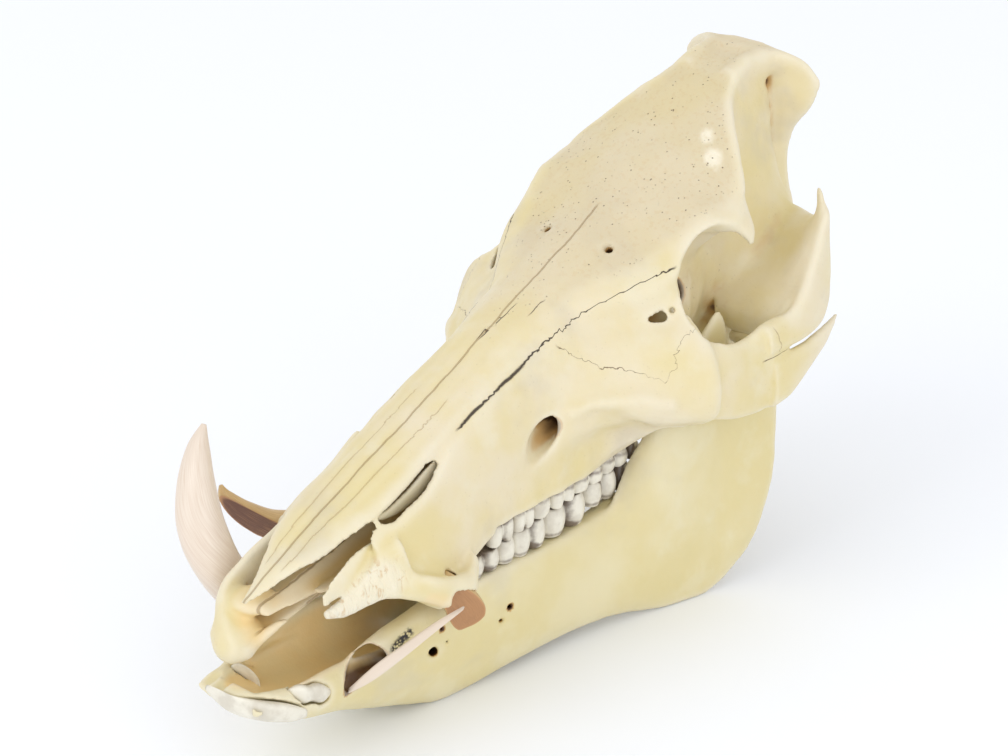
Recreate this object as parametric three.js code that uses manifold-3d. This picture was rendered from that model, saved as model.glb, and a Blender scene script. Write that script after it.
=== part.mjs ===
// Skull of a large male wild boar with its lower jaw in place, in millimetres, +Z up.
// X is the animal's left, Y runs from the snout to the back of the head, Z = 0 is the floor.
// The lower jaw stands on the floor; the cranium rests on it in the natural bite.
import * as THREE from 'three';
import { mergeVertices } from 'three/addons/utils/BufferGeometryUtils.js';
import Module from 'manifold-3d';

const wasm = await Module();
wasm.setup();

// Driving sizes
const snoutTipY = 12.5;
const crestY = 347;
const restGap = 0.3; // air kept between pieces that touch
const wallThickness = 4.5; // bone round the nasal cavity
const noseWidth = 40;

// Bone, enamel and ivory
const boneColour = 0xe6dcc0;
const jawColour = 0xe2d8ae;
const enamelColour = 0xdedbd0;
const ivoryColour = 0xe0d0bc;
const stainedIvoryColour = 0xa8885c;

// Curves and solids

// Point on a smooth curve through rows of numbers, t counted in rows
function smoothRow(rows, t) {
  const last = rows.length - 1;
  const i = Math.min(Math.floor(t), last - 1);
  const f = t - i;
  const before = rows[Math.max(i - 1, 0)];
  const here = rows[i];
  const next = rows[i + 1];
  const after = rows[Math.min(i + 2, last)];
  return here.map((p, k) => {
    const slopeIn = (next[k] - before[k]) / 2;
    const slopeOut = (after[k] - p) / 2;
    const f2 = f * f;
    const f3 = f2 * f;
    return (2 * f3 - 3 * f2 + 1) * p + (f3 - 2 * f2 + f) * slopeIn
      + (3 * f2 - 2 * f3) * next[k] + (f3 - f2) * slopeOut;
  });
}

// The same rows with extra rows between them
function refine(rows, steps) {
  const out = [];
  for (let i = 0; i < rows.length - 1; i += 1) {
    for (let s = 0; s < steps; s += 1) out.push(smoothRow(rows, i + s / steps));
  }
  out.push(rows[rows.length - 1]);
  return out;
}

// Closed solid through rings that all have the same number of points
function loft(rings) {
  const count = rings[0].length;
  const corners = rings.flat(2);
  const faces = [];
  for (let r = 0; r < rings.length - 1; r += 1) {
    for (let i = 0; i < count; i += 1) {
      const a = r * count + i;
      const b = r * count + ((i + 1) % count);
      faces.push(a, b, b + count, a, b + count, a + count);
    }
  }
  const cap = (ring, start, flip) => {
    const centre = [0, 1, 2].map((k) => ring.reduce((sum, p) => sum + p[k], 0) / count);
    const middle = corners.length / 3;
    corners.push(...centre);
    for (let i = 0; i < count; i += 1) {
      const a = start + i;
      const b = start + ((i + 1) % count);
      if (flip) faces.push(middle, b, a);
      else faces.push(middle, a, b);
    }
  };
  cap(rings[0], 0, true);
  cap(rings[rings.length - 1], (rings.length - 1) * count, false);
  return solidFrom(corners, faces);
}

// Manifold solid from loose corners and faces, turned so that its volume is positive
function solidFrom(corners, faces) {
  let geometry = new THREE.BufferGeometry();
  geometry.setAttribute('position', new THREE.Float32BufferAttribute(corners, 3));
  geometry.setIndex(faces);
  geometry = mergeVertices(geometry, 1e-4);
  const triVerts = new Uint32Array(geometry.index.array);
  const vertProperties = new Float32Array(geometry.attributes.position.array);
  if (signedVolume(vertProperties, triVerts) < 0) {
    for (let i = 0; i < triVerts.length; i += 3) {
      const keep = triVerts[i + 1];
      triVerts[i + 1] = triVerts[i + 2];
      triVerts[i + 2] = keep;
    }
  }
  return new wasm.Manifold(new wasm.Mesh({ numProp: 3, vertProperties, triVerts }));
}

function signedVolume(points, triangles) {
  let sum = 0;
  for (let i = 0; i < triangles.length; i += 3) {
    const [a, b, c] = [0, 1, 2].map((k) => {
      const j = triangles[i + k] * 3;
      return new THREE.Vector3(points[j], points[j + 1], points[j + 2]);
    });
    sum += a.dot(b.clone().cross(c));
  }
  return sum;
}

function union(solids) {
  return solids.reduce((whole, piece) => whole.add(piece));
}

// Point on a rounded oval: squareness 2 is an ellipse, larger is boxier
function ovalPoint(turn, squareness) {
  const power = 2 / squareness;
  const c = Math.cos(turn);
  const s = Math.sin(turn);
  return [Math.sign(c) * Math.abs(c) ** power, Math.sign(s) * Math.abs(s) ** power];
}

// Limb of bone: an oval section carried along a path.
// Each row is centre x y z, first half axis x y z, second half axis x y z.
function limb(rows, { sides = 10, steps = 1, squareness = 2.4 } = {}) {
  const rings = refine(rows, steps).map((row) => {
    const ring = [];
    for (let i = 0; i < sides; i += 1) {
      const [c, s] = ovalPoint((2 * Math.PI * i) / sides, squareness);
      ring.push([0, 1, 2].map((k) => row[k] + c * row[3 + k] + s * row[6 + k]));
    }
    return ring;
  });
  return loft(rings);
}

// Blade of bone standing in the YZ direction.
// Each row is y, then x and z of its upper edge, x and z of its lower edge, half thickness.
function blade(rows, options) {
  return limb(rows.map(([y, xTop, zTop, xLow, zLow, half]) => {
    const length = Math.hypot(xTop - xLow, zTop - zLow);
    const across = [(zTop - zLow) / length, 0, -(xTop - xLow) / length];
    return [(xTop + xLow) / 2, y, (zTop + zLow) / 2,
      (xTop - xLow) / 2, 0, (zTop - zLow) / 2,
      across[0] * half, 0, across[2] * half];
  }), options);
}

// Round horn along a path. Each row is x y z radius.
function horn(rows, { sides = 8, steps = 2, flat = 1 } = {}) {
  const axis = refine(rows, steps);
  const rings = axis.map((row, i) => {
    const here = new THREE.Vector3(...row);
    const next = new THREE.Vector3(...axis[Math.min(i + 1, axis.length - 1)]);
    const last = new THREE.Vector3(...axis[Math.max(i - 1, 0)]);
    const along = next.sub(last).normalize();
    const side = new THREE.Vector3(0, 0, 1).cross(along);
    if (side.length() < 0.2) side.set(0, 1, 0).cross(along);
    side.normalize();
    const up = along.clone().cross(side);
    const ring = [];
    for (let k = 0; k < sides; k += 1) {
      const turn = (2 * Math.PI * k) / sides;
      const p = here.clone()
        .addScaledVector(side, Math.cos(turn) * row[3])
        .addScaledVector(up, Math.sin(turn) * row[3] * flat);
      ring.push(p.toArray());
    }
    return ring;
  });
  return loft(rings);
}

// Egg-shaped lump or hollow
function egg([x, y, z], [rx, ry, rz], sides = 14) {
  const geometry = new THREE.SphereGeometry(1, sides, Math.round(sides * 0.7));
  geometry.deleteAttribute('normal');
  geometry.deleteAttribute('uv');
  geometry.scale(rx, ry, rz);
  geometry.translate(x, y, z);
  const merged = mergeVertices(geometry, 1e-5);
  return solidFrom([...merged.attributes.position.array], [...merged.index.array]);
}

// The largest body of a solid, with triangles joined where that moves nothing by a visible amount
function mainBody(solid) {
  const bodies = solid.decompose().sort((a, b) => b.volume() - a.volume());
  return bodies[0].simplify(0.3);
}

function mirrorSolid(solid) {
  return solid.mirror([1, 0, 0]);
}

function bothSides(solid) {
  return solid.add(mirrorSolid(solid));
}

// Cranium

// Half sections of the skull from the snout to the back of the head.
// Each row is y, then x and z of: roof, roof shoulder, brow line, upper cheek, side,
// facial crest, hollow under the crest, gum, palate edge, palate.
const skullSections = [
  [64, 0, 107, 10, 106.5, 19, 104, 26, 100, 31, 93, 34.5, 88, 36.5, 84, 36, 80, 20, 78, 0, 79],
  [85, 0, 120, 10, 119, 20, 116, 27, 108.5, 31, 98, 36, 88, 39, 80, 39, 74, 22, 73, 0, 76],
  [110, 0, 132, 11, 130.5, 20.5, 127, 26, 118, 30, 105, 33, 94, 35, 83, 34, 73, 20, 71, 0, 76],
  [135, 0, 144, 11, 142.5, 20.5, 137.5, 27, 127, 31, 113, 32, 103, 33, 92, 33, 82, 17, 79, 0, 83],
  [165, 0, 158, 12, 156.5, 21.5, 148, 28, 136, 33, 121, 34.5, 109, 34.5, 96, 34, 84, 16, 81, 0, 86],
  [188, 0, 168.5, 13, 166.5, 26, 158, 32, 147, 40, 133, 46, 121, 38, 105, 34, 84, 15, 81, 0, 87],
  [205, 0, 176, 15, 173.5, 32, 165.5, 40, 152, 52, 137, 62, 119, 46, 106, 33, 86, 14, 81, 0, 88],
  [220, 0, 183, 18, 179, 39, 171.5, 48, 159, 63, 143, 72, 117, 54, 106, 32, 88, 13, 82, 0, 91],
  [234, 0, 190, 20, 185.5, 46, 177, 51, 166, 70, 146, 76, 120, 62, 107, 30, 92, 13, 84, 0, 94],
  [243, 0, 195.5, 22, 191, 46.5, 184.5, 45, 174, 38, 158, 40, 140, 37, 120, 29, 100, 13, 86, 0, 98],
  [258, 0, 204, 24, 199.5, 50, 193, 46, 184, 34, 166, 38, 143, 34, 124, 25, 108, 13, 92, 0, 104],
  [270, 0, 211, 26, 206.5, 53.5, 192, 49, 185, 32, 168, 35, 146, 31, 130, 22, 116, 13, 104, 0, 110],
  [283, 0, 218, 26, 214.5, 48.5, 200.5, 42, 192, 31, 176, 31, 158, 30, 142, 24, 126, 13, 112, 0, 115],
  [297, 0, 226, 17, 225, 31, 220.5, 32, 208, 32, 188, 36, 166, 37, 148, 28, 128, 14, 118, 0, 120],
  [310, 0, 233, 12, 232.5, 20.5, 231, 24, 218, 31, 194, 39, 170, 41, 150, 33, 130, 15, 122, 0, 124],
  [325, 0, 238.5, 10, 238.5, 16, 237, 20, 224, 28, 198, 38, 174, 41, 154, 35, 133, 16, 126, 0, 127],
  [340, 0, 241.5, 10, 241.5, 17, 239, 18, 226, 24, 198, 31, 176, 34, 158, 30, 140, 15, 130, 0, 130],
];

function ringFromHalf(row) {
  const half = [];
  for (let i = 1; i < row.length; i += 2) half.push([row[i], row[i + 1]]);
  const left = half.map(([x, z]) => [x, row[0], z]);
  const right = half.slice(1, -1).reverse().map(([x, z]) => [-x, row[0], z]);
  return [...left, ...right];
}

function skullBody() {
  return loft(skullSections.map(ringFromHalf));
}

// Rear wall of the head with the flared nuchal crest.
// Each row is z, middle y, half width, half depth, how far the edges sweep back.
const occiputRows = [
  [115, 316, 12, 9, 0],
  [128, 320, 30, 12, 0],
  [142, 325, 40, 12, 1],
  [156, 330, 41, 11, 3],
  [168, 334, 37, 10, 5],
  [180, 337.5, 28, 9, 8],
  [192, 340, 25, 8, 9],
  [205, 342, 27.5, 6, 9],
  [214, 343, 33, 4.5, 10],
  [224, 344, 37.5, 3.6, 10],
  [231, 345, 36.5, 3.4, 9],
  [237, 346, 29, 3.4, 6],
  [241, 346.5, 20, 3, 3],
  [244, crestY, 10, 2, 0],
];

function occiput() {
  const rings = occiputRows.map(([z, y, halfWidth, halfDepth, sweep]) => {
    const ring = [];
    for (let i = 0; i < 10; i += 1) {
      const [c, s] = ovalPoint((2 * Math.PI * i) / 10, 3);
      ring.push([c * halfWidth, y + s * halfDepth + sweep * c * c, z]);
    }
    return ring;
  });
  return loft(rings);
}

// Nasal bones: a roof plate that narrows to the snout tip.
// Each row is y, z of the middle, half width, fall of the edges, half thickness.
const nasalRows = [
  [snoutTipY, 87.5, 1.5, 0.3, 1],
  [22, 92.3, 5, 0.8, 1.6],
  [34, 98.5, 9.6, 1, 2],
  [44, 103.5, 14.5, 1.8, 2.2],
  [54, 109, 17.5, 3, 2.3],
  [66, 114, noseWidth / 2 - 0.4, 4, 2.4],
  [90, 124.4, noseWidth / 2, 5, 2.6],
  [118, 135.7, noseWidth / 2 - 0.7, 6.2, 1.6],
];

function nasalPlate() {
  const rings = nasalRows.map(([y, z, halfWidth, fall, half]) => {
    const ring = [];
    for (let i = 0; i < 8; i += 1) {
      const [c, s] = ovalPoint((2 * Math.PI * i) / 8, 2.6);
      ring.push([c * halfWidth, y, z - half + s * half - fall * c * c]);
    }
    return ring;
  });
  return loft(rings);
}

// Front half of the cheekbone, from the face to where the arch forks
const cheekboneRows = [
  [224, 58, 143, 63, 112, 5],
  [238, 66, 145, 72, 109, 5],
  [248, 69.5, 142, 73.5, 106, 5],
  [258, 70, 141.5, 74.3, 104.5, 4.8],
  [267, 71, 144, 75, 104, 4.5],
  [276, 71.5, 145, 76, 105.5, 4.2],
  [282, 72, 145, 76.5, 108, 3.4],
];
const jugalTailRows = [
  [270, 76.5, 128.5, 78, 105, 3.8],
  [282, 77.5, 129.3, 79, 107.5, 3.4],
  [294, 78, 129.6, 79.3, 114, 2.9],
  [306, 78.3, 131.4, 79, 122, 2.3],
  [314, 78, 133.5, 78.4, 128.5, 1.8],
  [320, 77.5, 135.6, 77.6, 133.4, 1],
];
const archTailRows = [
  [268, 73, 144, 76, 131, 3.8],
  [282, 73.8, 145.5, 77.5, 131, 3.3],
  [292, 74.6, 151, 77.8, 131.4, 3.2],
  [300, 74.8, 162, 77.7, 132.6, 3.1],
  [308, 74.2, 173, 77, 135.5, 3],
  [314, 71.5, 183, 76, 143, 2.8],
  [318, 66.5, 191.5, 72.5, 158, 2.6],
  [321, 63, 194, 68.5, 172, 1.8],
];

// Root that ties the arch to the braincase over the jaw joint
const archRootRows = [
  [26, 313, 156, 0, 23, 20, 0, -7, 8],
  [42, 314, 155, 0, 24, 18, 0, -5, 7],
  [57, 308, 156, 0, 20, 20, 0, -4, 5],
  [68, 304, 159, 0, 15, 25, 0, -3, 4],
  [74, 302, 160, 0, 12, 25, 0, -1, 2],
];

// Hook behind the orbit
const hookRows = [
  [42, 271, 191, 0, 12, 2, 2, 0, 4],
  [49, 273, 190, 0, 9, 2, 2.5, 0, 3.5],
  [54, 275, 187, 0, 6, 1, 2.6, 0, 2],
  [57, 276.5, 182.5, 0, 3.6, 0, 2, 0, 1],
  [58.4, 277.3, 177.5, 0, 1, 0, 0.8, 0, 0.3],
];

// Underside: wing beside the choanae, tympanic bulla, long process beside the condyle
function underside() {
  const pterygoid = blade([
    [238, 14, 100, 14, 84, 2.4],
    [252, 14.5, 106, 15, 83, 2.2],
    [266, 14, 112, 17, 84, 1.8],
    [276, 13, 116, 18, 92, 1.4],
  ], { sides: 6 });
  const bulla = limb([
    [17, 296, 124, 8, 0, 0, 0, 10, 0],
    [18, 297, 112, 8, 0, 0, 0, 9, 0],
    [18, 299, 103, 5, 0, 0, 0, 6, 0],
    [18, 300, 98, 1.5, 0, 0, 0, 2, 0],
  ], { sides: 6 });
  const paroccipital = limb([
    [28, 322, 144, 12, 0, 0, 0, 7, 0],
    [28, 320, 126, 9, 0, 0, 0, 5.5, 0],
    [26, 316, 108, 6, 0, 0, 0, 4.5, 0],
    [24, 312, 92, 2.5, 0, 0, 0, 2, 0],
  ], { sides: 6 });
  const condyle = limb([
    [10, 322, 136, 8, 0, 0, 0, 3, 13],
    [13, 331, 133, 8.5, 0, 0, 0, 3, 12],
    [15, 338, 131, 6, 0, 0, 0, 3, 9],
    [15, 341.5, 130, 2, 0, 0, 0, 1, 4],
  ], { sides: 6 });
  return bothSides(union([pterygoid, bulla, paroccipital, condyle]));
}

// Right premaxilla: side wall, rounded front, and the shelf in the floor of the nose
function rightPremaxilla() {
  const wall = blade([
    [9, -7, 70, -7, 58.5, 4],
    [14, -15, 78, -14, 57.5, 4.5],
    [22, -20.5, 85, -20, 58, 4],
    [36, -21, 91.5, -25, 60, 3.5],
    [55, -22, 97, -29, 64, 3.2],
    [74, -23.5, 104, -32, 70, 3.2],
    [92, -24, 112, -34, 80, 3],
    [106, -23, 122, -33, 96, 3],
  ], { sides: 6 });
  const frontKnob = limb([
    [-19, 17, 63, 0, 6, 0, 0, 0, 5],
    [-10, 12, 62, 0, 6, 0, 0, 0, 5.5],
    [-3, 12, 62, 0, 5, 0, 0, 0, 4.5],
    [1, 14, 62, 0, 2, 0, 0, 0, 2],
  ], { sides: 6 });
  const shelf = limb([
    [-12, 12, 63, 9, 0, 0, 0, 0, 3.5],
    [-12, 26, 65, 11, 0, 0, 0, 0, 3],
    [-14, 45, 68, 11, 0, 0, 0, 0, 2.6],
    [-16, 70, 74, 12, 0, 0, 0, 0, 2.6],
  ], { sides: 6 });
  const spur = horn([
    [-3, 14, 62, 3.5],
    [0, 22, 66, 2.6],
    [3, 29, 70, 1.8],
    [5, 33, 71.5, 0.8],
  ], { sides: 6, steps: 1 });
  return union([wall, frontKnob, shelf, spur]);
}

// Rough wedge in front of the left maxilla, where the missing bone was joined
function leftSutureWedge() {
  return blade([
    [38, 22, 79.5, 22, 76, 1.6],
    [46, 23.5, 83, 25, 74.5, 2.6],
    [56, 25.5, 90, 29.5, 77.5, 3.4],
    [66, 27, 98, 34, 80, 4],
    [74, 29, 102, 37, 82, 4],
  ], { sides: 8 });
}

// Sleeve of bone round the root of each upper tusk
function tuskSleeves() {
  return bothSides(limb([
    [34, 71, 84, 5, 0, 2, 0, 0, 4.5],
    [38.5, 81, 77.5, 7.5, 0, 3, 0, 0, 7],
    [41, 92, 72, 7.5, 0, 3, 0, 0, 8.5],
    [41, 102, 70.5, 7, 0, 3, 0, 0, 8],
    [37, 112, 76, 4, 0, 2, 0, 0, 5],
  ], { sides: 8 }));
}

// Hollow of the nose, open in front
const noseHollowRows = [
  [30, 84, 19, 12],
  [64, 93, 25 - wallThickness / 4, 15],
  [85, 98.5, 26 - wallThickness / 4, 20],
  [110, 106, 25 - wallThickness / 4, 22],
  [135, 113, 22, 20],
  [158, 120, 10, 8],
];

function noseHollow() {
  return limb(noseHollowRows.map(([y, z, halfWidth, halfHeight]) => [
    0, y, z, halfWidth, 0, 0, 0, 0, halfHeight]), { sides: 12, squareness: 2.6 });
}

// Long gap between the nasal bones and the maxilla, left open by the missing bone
function noseSlot() {
  return limb([
    [28, 46, 111, 8, 0, 0, 0, 0, 12],
    [28, 64, 111, 8, 0, 0, 0, 0, 9.5],
    [27, 80, 115.5, 7, 0, 0, 0, 0, 8.5],
    [26, 95, 120.5, 6.5, 0, 0, 0, 0, 8],
    [24.5, 106, 126, 5.5, 0, 0, 0, 0, 6.5],
    [22.5, 114, 130, 3, 0, 0, 0, 0, 3.6],
    [21, 124, 133.5, 1, 0, 0, 0, 0, 1.6],
  ], { sides: 6 });
}

function orbits() {
  const globe = egg([62, 257, 166], [29, 21.5, 25.5], 8);
  const lacrimalHole = horn([[50, 240, 158, 5], [40, 226, 150, 7], [34, 214, 142, 4]], { sides: 6, steps: 1 });
  return bothSides(globe.add(lacrimalHole));
}

function infraorbitalHoles() {
  return bothSides(limb([
    [41, 148, 108, 6, 0, 0, 0, 0, 8.4],
    [34.5, 159, 113, 6, 0, 0, 0, 0, 8.2],
    [29.5, 172, 118, 4.6, 0, 0, 0, 0, 6.6],
    [27, 188, 122, 3, 0, 0, 0, 0, 4],
  ]));
}

// Hollow under the facial crest, behind the infraorbital hole
function cheekHollow() {
  return bothSides(egg([52, 196, 103], [14, 20, 9], 8));
}

// Room behind the last molar where the front edge of the jaw rises behind the cheek
function jawPassage() {
  return bothSides(limb([
    [44, 222, 94, 11, 0, 0, 0, 0, 11],
    [46, 232, 106, 12, 0, 0, 0, 0, 19],
    [50, 247, 120, 13, 0, 0, 0, 0, 26],
  ], { sides: 8 }));
}

function foramenMagnum() {
  return limb([
    [0, 310, 150, 8, 0, 0, 0, 0, 7],
    [0, 330, 148, 9.5, 0, 0, 0, 0, 9],
    [0, 350, 146, 13, 0, 0, 0, 0, 13],
  ]);
}

function cranium() {
  const shell = union([skullBody(), bothSides(blade(cheekboneRows, { sides: 8 })), tuskSleeves(),
    leftSutureWedge()]);
  const opened = shell.subtract(noseHollow()).subtract(noseSlot())
    .subtract(mirrorSolid(noseSlot())).subtract(orbits())
    .subtract(infraorbitalHoles()).subtract(cheekHollow()).subtract(jawPassage());
  const arches = bothSides(union([blade(jugalTailRows, { sides: 6 }),
    blade(archTailRows, { sides: 8 }), limb(archRootRows, { sides: 8 }),
    limb(hookRows, { sides: 6 })]));
  return union([opened, occiput(), nasalPlate(), arches, underside(), rightPremaxilla()])
    .subtract(foramenMagnum());
}

// Lower jaw

// Left half. Each row is y, upper edge x z, lower edge x z, half thickness.
const jawRows = [
  [58, 17, 48, 6, 22, 8],
  [78, 22, 54, 8, 11, 9],
  [98, 25.5, 60, 12, 3, 9],
  [116, 26, 62, 16, -1, 8.5],
  [150, 26.5, 59, 22.5, 3.5, 8.5],
  [180, 27, 59.5, 26.5, 4.5, 9],
  [205, 29, 62, 31, 4.5, 9.5],
  [218, 34, 74, 35, 3.5, 9],
  [230, 43, 102, 39.5, 1.5, 7.5],
  [245, 48.5, 127, 44.5, -1, 6],
  [258, 50, 143, 48.5, -1, 5],
  [266, 50.5, 146, 51, 1.5, 4],
  [273, 51.5, 126, 53, 5.5, 4.5],
  [282, 53, 121, 55, 12.5, 5],
  [290, 55, 126, 57, 23, 5],
  [296, 57, 118, 59.5, 42, 4],
  [299.5, 59, 100, 60, 60, 2],
];

// Spout of the chin. Each row is y, middle z, half width, half height.
const chinRows = [
  [1, 45.5, 18, 4],
  [12, 43, 21, 8.5],
  [30, 38, 22, 12.5],
  [50, 35, 22, 16.5],
  [72, 30, 21, 20],
  [95, 21, 17, 18],
  [114, 13, 13, 14],
  [122, 12, 6, 7],
];

function jawCondyle() {
  return limb([
    [41, 290, 124, 0, 4, 0, 0, 0, 3],
    [47, 291, 125, 0, 6.5, 0, 0, 0, 5],
    [54, 292.5, 125.5, 0, 7, 0, 0, 0, 5.5],
    [62, 293, 124.5, 0, 6, 0, 0, 0, 4.5],
    [66, 293, 123, 0, 3, 0, 0, 0, 2.5],
  ], { sides: 6 });
}

function mandible() {
  const half = blade(jawRows).add(jawCondyle());
  const chin = limb(chinRows.map(([y, z, halfWidth, halfHeight]) => [
    0, y, z, halfWidth, 0, 0, 0, 0, halfHeight]), { sides: 14, squareness: 2.1 });
  const dish = limb([
    [0, 8, 56, 13, 0, 0, 0, 0, 9],
    [0.5, 30, 54, 15.5, 0, 0, 0, 0, 14],
    [2, 60, 54, 14, 0, 0, 0, 0, 16],
    [2, 90, 52, 13.5, 0, 0, 0, 0, 20],
    [0, 120, 50, 15, 0, 0, 0, 0, 30],
  ], { sides: 12 });
  const dishWall = blade([
    [14, -16, 47, -16, 36, 3],
    [26, -20, 52, -19, 36, 3.6],
    [38, -22, 56.5, -20, 36, 4.2],
    [50, -19, 58, -18, 38, 4.5],
    [62, -17.5, 58, -17, 38, 4.5],
    [76, -16.5, 56, -15, 38, 4.5],
  ], { sides: 6 });
  const tuskCollar = horn([[-19, 86, 33, 12], [-23, 74, 39, 12.5], [-26, 63, 44, 12.5],
    [-27, 57, 45, 10]], { steps: 1 });
  const brokenSocket = horn([[21, 49, 35.5, 2], [21.5, 54, 39.5, 4.6], [21, 61, 43.6, 6.4],
    [17.5, 72, 42, 6], [14.5, 86, 35, 5.4], [13, 100, 26, 4]], { sides: 8, steps: 1 });
  const frontSockets = egg([-15, 2, 50], [5, 9, 4], 8).add(egg([-6, 1, 50], [3.4, 9, 3.6], 8));
  return union([half, mirrorSolid(half), chin, dishWall, tuskCollar]).subtract(dish)
    .subtract(brokenSocket).subtract(lowerTuskRight(0.7)).subtract(frontSockets)
    .subtract(splinterBed()).trimByPlane([0, 0, 1], 0);
}

// Tusks and front teeth

const lowerTuskRows = [
  [-22, 74, 39, 7.5],
  [-27, 60, 46, 9.6],
  [-33, 46, 60, 11.2],
  [-40, 36, 78, 11.6],
  [-46.5, 34, 96, 10.6],
  [-53, 38, 113, 8.2],
  [-58, 44.5, 126, 5],
  [-60.5, 50.5, 134, 1.2],
];

// The whole right lower tusk, a little flattened; with extra, the room round it
function lowerTuskRight(extra = 0) {
  return horn(lowerTuskRows.map(([x, y, z, r]) => [x, y, z, r + extra]), { steps: 1, flat: 0.86 });
}

// Each row is centre x y z, half height along y and z, half thickness
function lowerTuskSplinter(extra = 0) {
  return limb([
    [22, 50.5, 35.5, 1, 1, 0.8],
    [27.8, 60, 42.3, 2, 3.4, 1.2],
    [34.6, 71.2, 50.5, 2, 3.2, 1.2],
    [42.1, 81.9, 59.7, 2, 2.4, 1],
    [49.1, 92, 67.4, 1, 0.8, 0.7],
  ].map(([x, y, z, alongY, alongZ, thick]) => {
    const wider = 1 + extra / Math.hypot(alongY, alongZ);
    return [x, y, z, 0, alongY * wider, alongZ * wider, thick + extra, 0, 0];
  }), { sides: 8 });
}

// Room round the splinter, also past its two ends
function splinterBed() {
  const room = lowerTuskSplinter(0.6);
  return union([room, room.translate([-0.25, -0.8, -0.35]), room.translate([0.25, 0.8, 0.35])]);
}

const upperTuskRows = {
  right: [
    [-36, 94, 82, 4],
    [-41, 87, 77, 7],
    [-49, 76, 78, 7.4],
    [-56, 67, 85, 6.2],
    [-61, 61.5, 94, 3.4],
    [-62.5, 60, 100, 0.9],
  ],
  left: [
    [38, 91, 79, 5],
    [40.5, 94, 73, 8.5],
    [43, 97.5, 66, 11.2],
    [44.6, 100, 60, 11.6],
    [45.6, 101.5, 56.8, 9],
    [46, 102, 55.4, 2.5],
  ],
};
const upperTuskWear = {
  right: { flat: 1, place: [-48.2, 74.4, 77.4], facing: [0.44, -0.77, -0.35] },
  left: { flat: 0.7, place: [46.8, 97, 60.5], facing: [0.86, -0.5, -0.05] },
};

// Upper tusk, ground flat where the lower tusk wore it
function upperTusk(side) {
  const { flat, place, facing } = upperTuskWear[side];
  const length = Math.hypot(...facing);
  const inward = facing.map((v) => -v / length);
  const depth = inward.reduce((sum, v, k) => sum + v * place[k], 0);
  return horn(upperTuskRows[side], { sides: 8, steps: 1, flat }).trimByPlane(inward, depth);
}

// Socket of an upper tusk, a little wider than the tusk itself
function upperTuskSocket(side) {
  const rows = upperTuskRows[side].map(([x, y, z, r]) => [x, y, z, r + restGap + 0.3]);
  return horn(rows, { sides: 8, steps: 1, flat: upperTuskWear[side].flat })
    .add(horn(rows.map(([x, y, z, r]) => [x * 0.985, y, z + 0.7, r]),
      { sides: 8, steps: 1, flat: upperTuskWear[side].flat }));
}

// Front teeth that are left in the lower jaw. Each row is x y z, half width, half height.
const frontTeeth = {
  lower_incisor_left: [
    [21.5, 24, 36.8, 2, 2.4],
    [19, 16, 40, 4.6, 4.6],
    [14, 5.4, 44, 5, 5],
    [5, -0.6, 46, 4.6, 4.4],
    [-4, -1.5, 47.8, 3, 2.8],
    [-8.5, -2, 49.2, 1.2, 1.2],
  ],
  lower_corner_incisor_left: [
    [16.5, 21, 46, 1.6, 2],
    [18.2, 25, 44.3, 3.8, 4.6],
    [19.2, 29.6, 42.8, 3.2, 4],
    [19.8, 34.5, 41, 3.8, 4.8],
    [20.2, 39.5, 39, 1.6, 2],
  ],
  lower_corner_incisor_right: [
    [-13, 16.5, 48.5, 1, 1.2],
    [-11.5, 18.5, 47.5, 2.4, 2.8],
    [-8, 20, 45.5, 3, 3.4],
    [-4, 20.5, 43.5, 2.6, 2.8],
    [-1, 20, 42, 1, 1.2],
  ],
};

// One front tooth, or with extra its socket
function frontTooth(rows, extra = 0) {
  return limb(rows.map(([x, y, z, halfWidth, halfHeight]) => [x, y, z,
    halfWidth + extra, 0, 1, 0, 0, halfHeight + extra]), { sides: 8 });
}

// Where the cheek teeth start along the row, their lobes, cheek-side edge and gum, and widths
const toothNames = ['premolar_2', 'premolar_3', 'premolar_4', 'molar_1', 'molar_2', 'molar_3'];
const upperTeeth = {
  starts: [132.5, 147.5, 160.5, 172.5, 187.5, 207.5, 235],
  lobes: [2, 2, 1, 2, 2, 3],
  rows: [[124, 30.5, 81.5], [148, 32, 82.5], [195, 33.5, 83], [235, 32.5, 86]],
  width: [8, 10.5, 13, 14, 15.5, 15],
};
const lowerTeeth = {
  starts: [112, 119.5, 140, 150, 171, 199, 230],
  lobes: [1, 2, 1, 2, 2, 3],
  rows: [[110, 29.5, 62], [125, 30, 62], [170, 30.5, 60], [200, 31.5, 62], [230, 32, 70]],
  width: [5, 7, 8.5, 10.5, 12, 11.5],
};

const rootDepth = 2.5; // how far a crown reaches into the gum line

// Height of the biting surface along the row
function biteHeight(y) {
  return 70.5 + (y - 130) * 0.085;
}

function rowAt(rows, y) {
  let i = 0;
  while (i < rows.length - 2 && y > rows[i + 1][0]) i += 1;
  const f = (y - rows[i][0]) / (rows[i + 1][0] - rows[i][0]);
  return rows[i].map((v, k) => v + f * (rows[i + 1][k] - v));
}

// Outline of a tooth seen from the bite: full at each lobe, waisted between lobes.
// Points are shares of the half width and places along the tooth from 0 to 1.
function lobedOutline(lobes) {
  const cheekSide = [[0.62, 0]];
  for (let i = 0; i < lobes; i += 1) {
    cheekSide.push([1, (i + 0.5) / lobes]);
    if (i < lobes - 1) cheekSide.push([0.74, (i + 1) / lobes]);
  }
  cheekSide.push([0.62, 1]);
  return [...cheekSide, ...cheekSide.map(([x, y]) => [-x, y]).reverse()];
}

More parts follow.
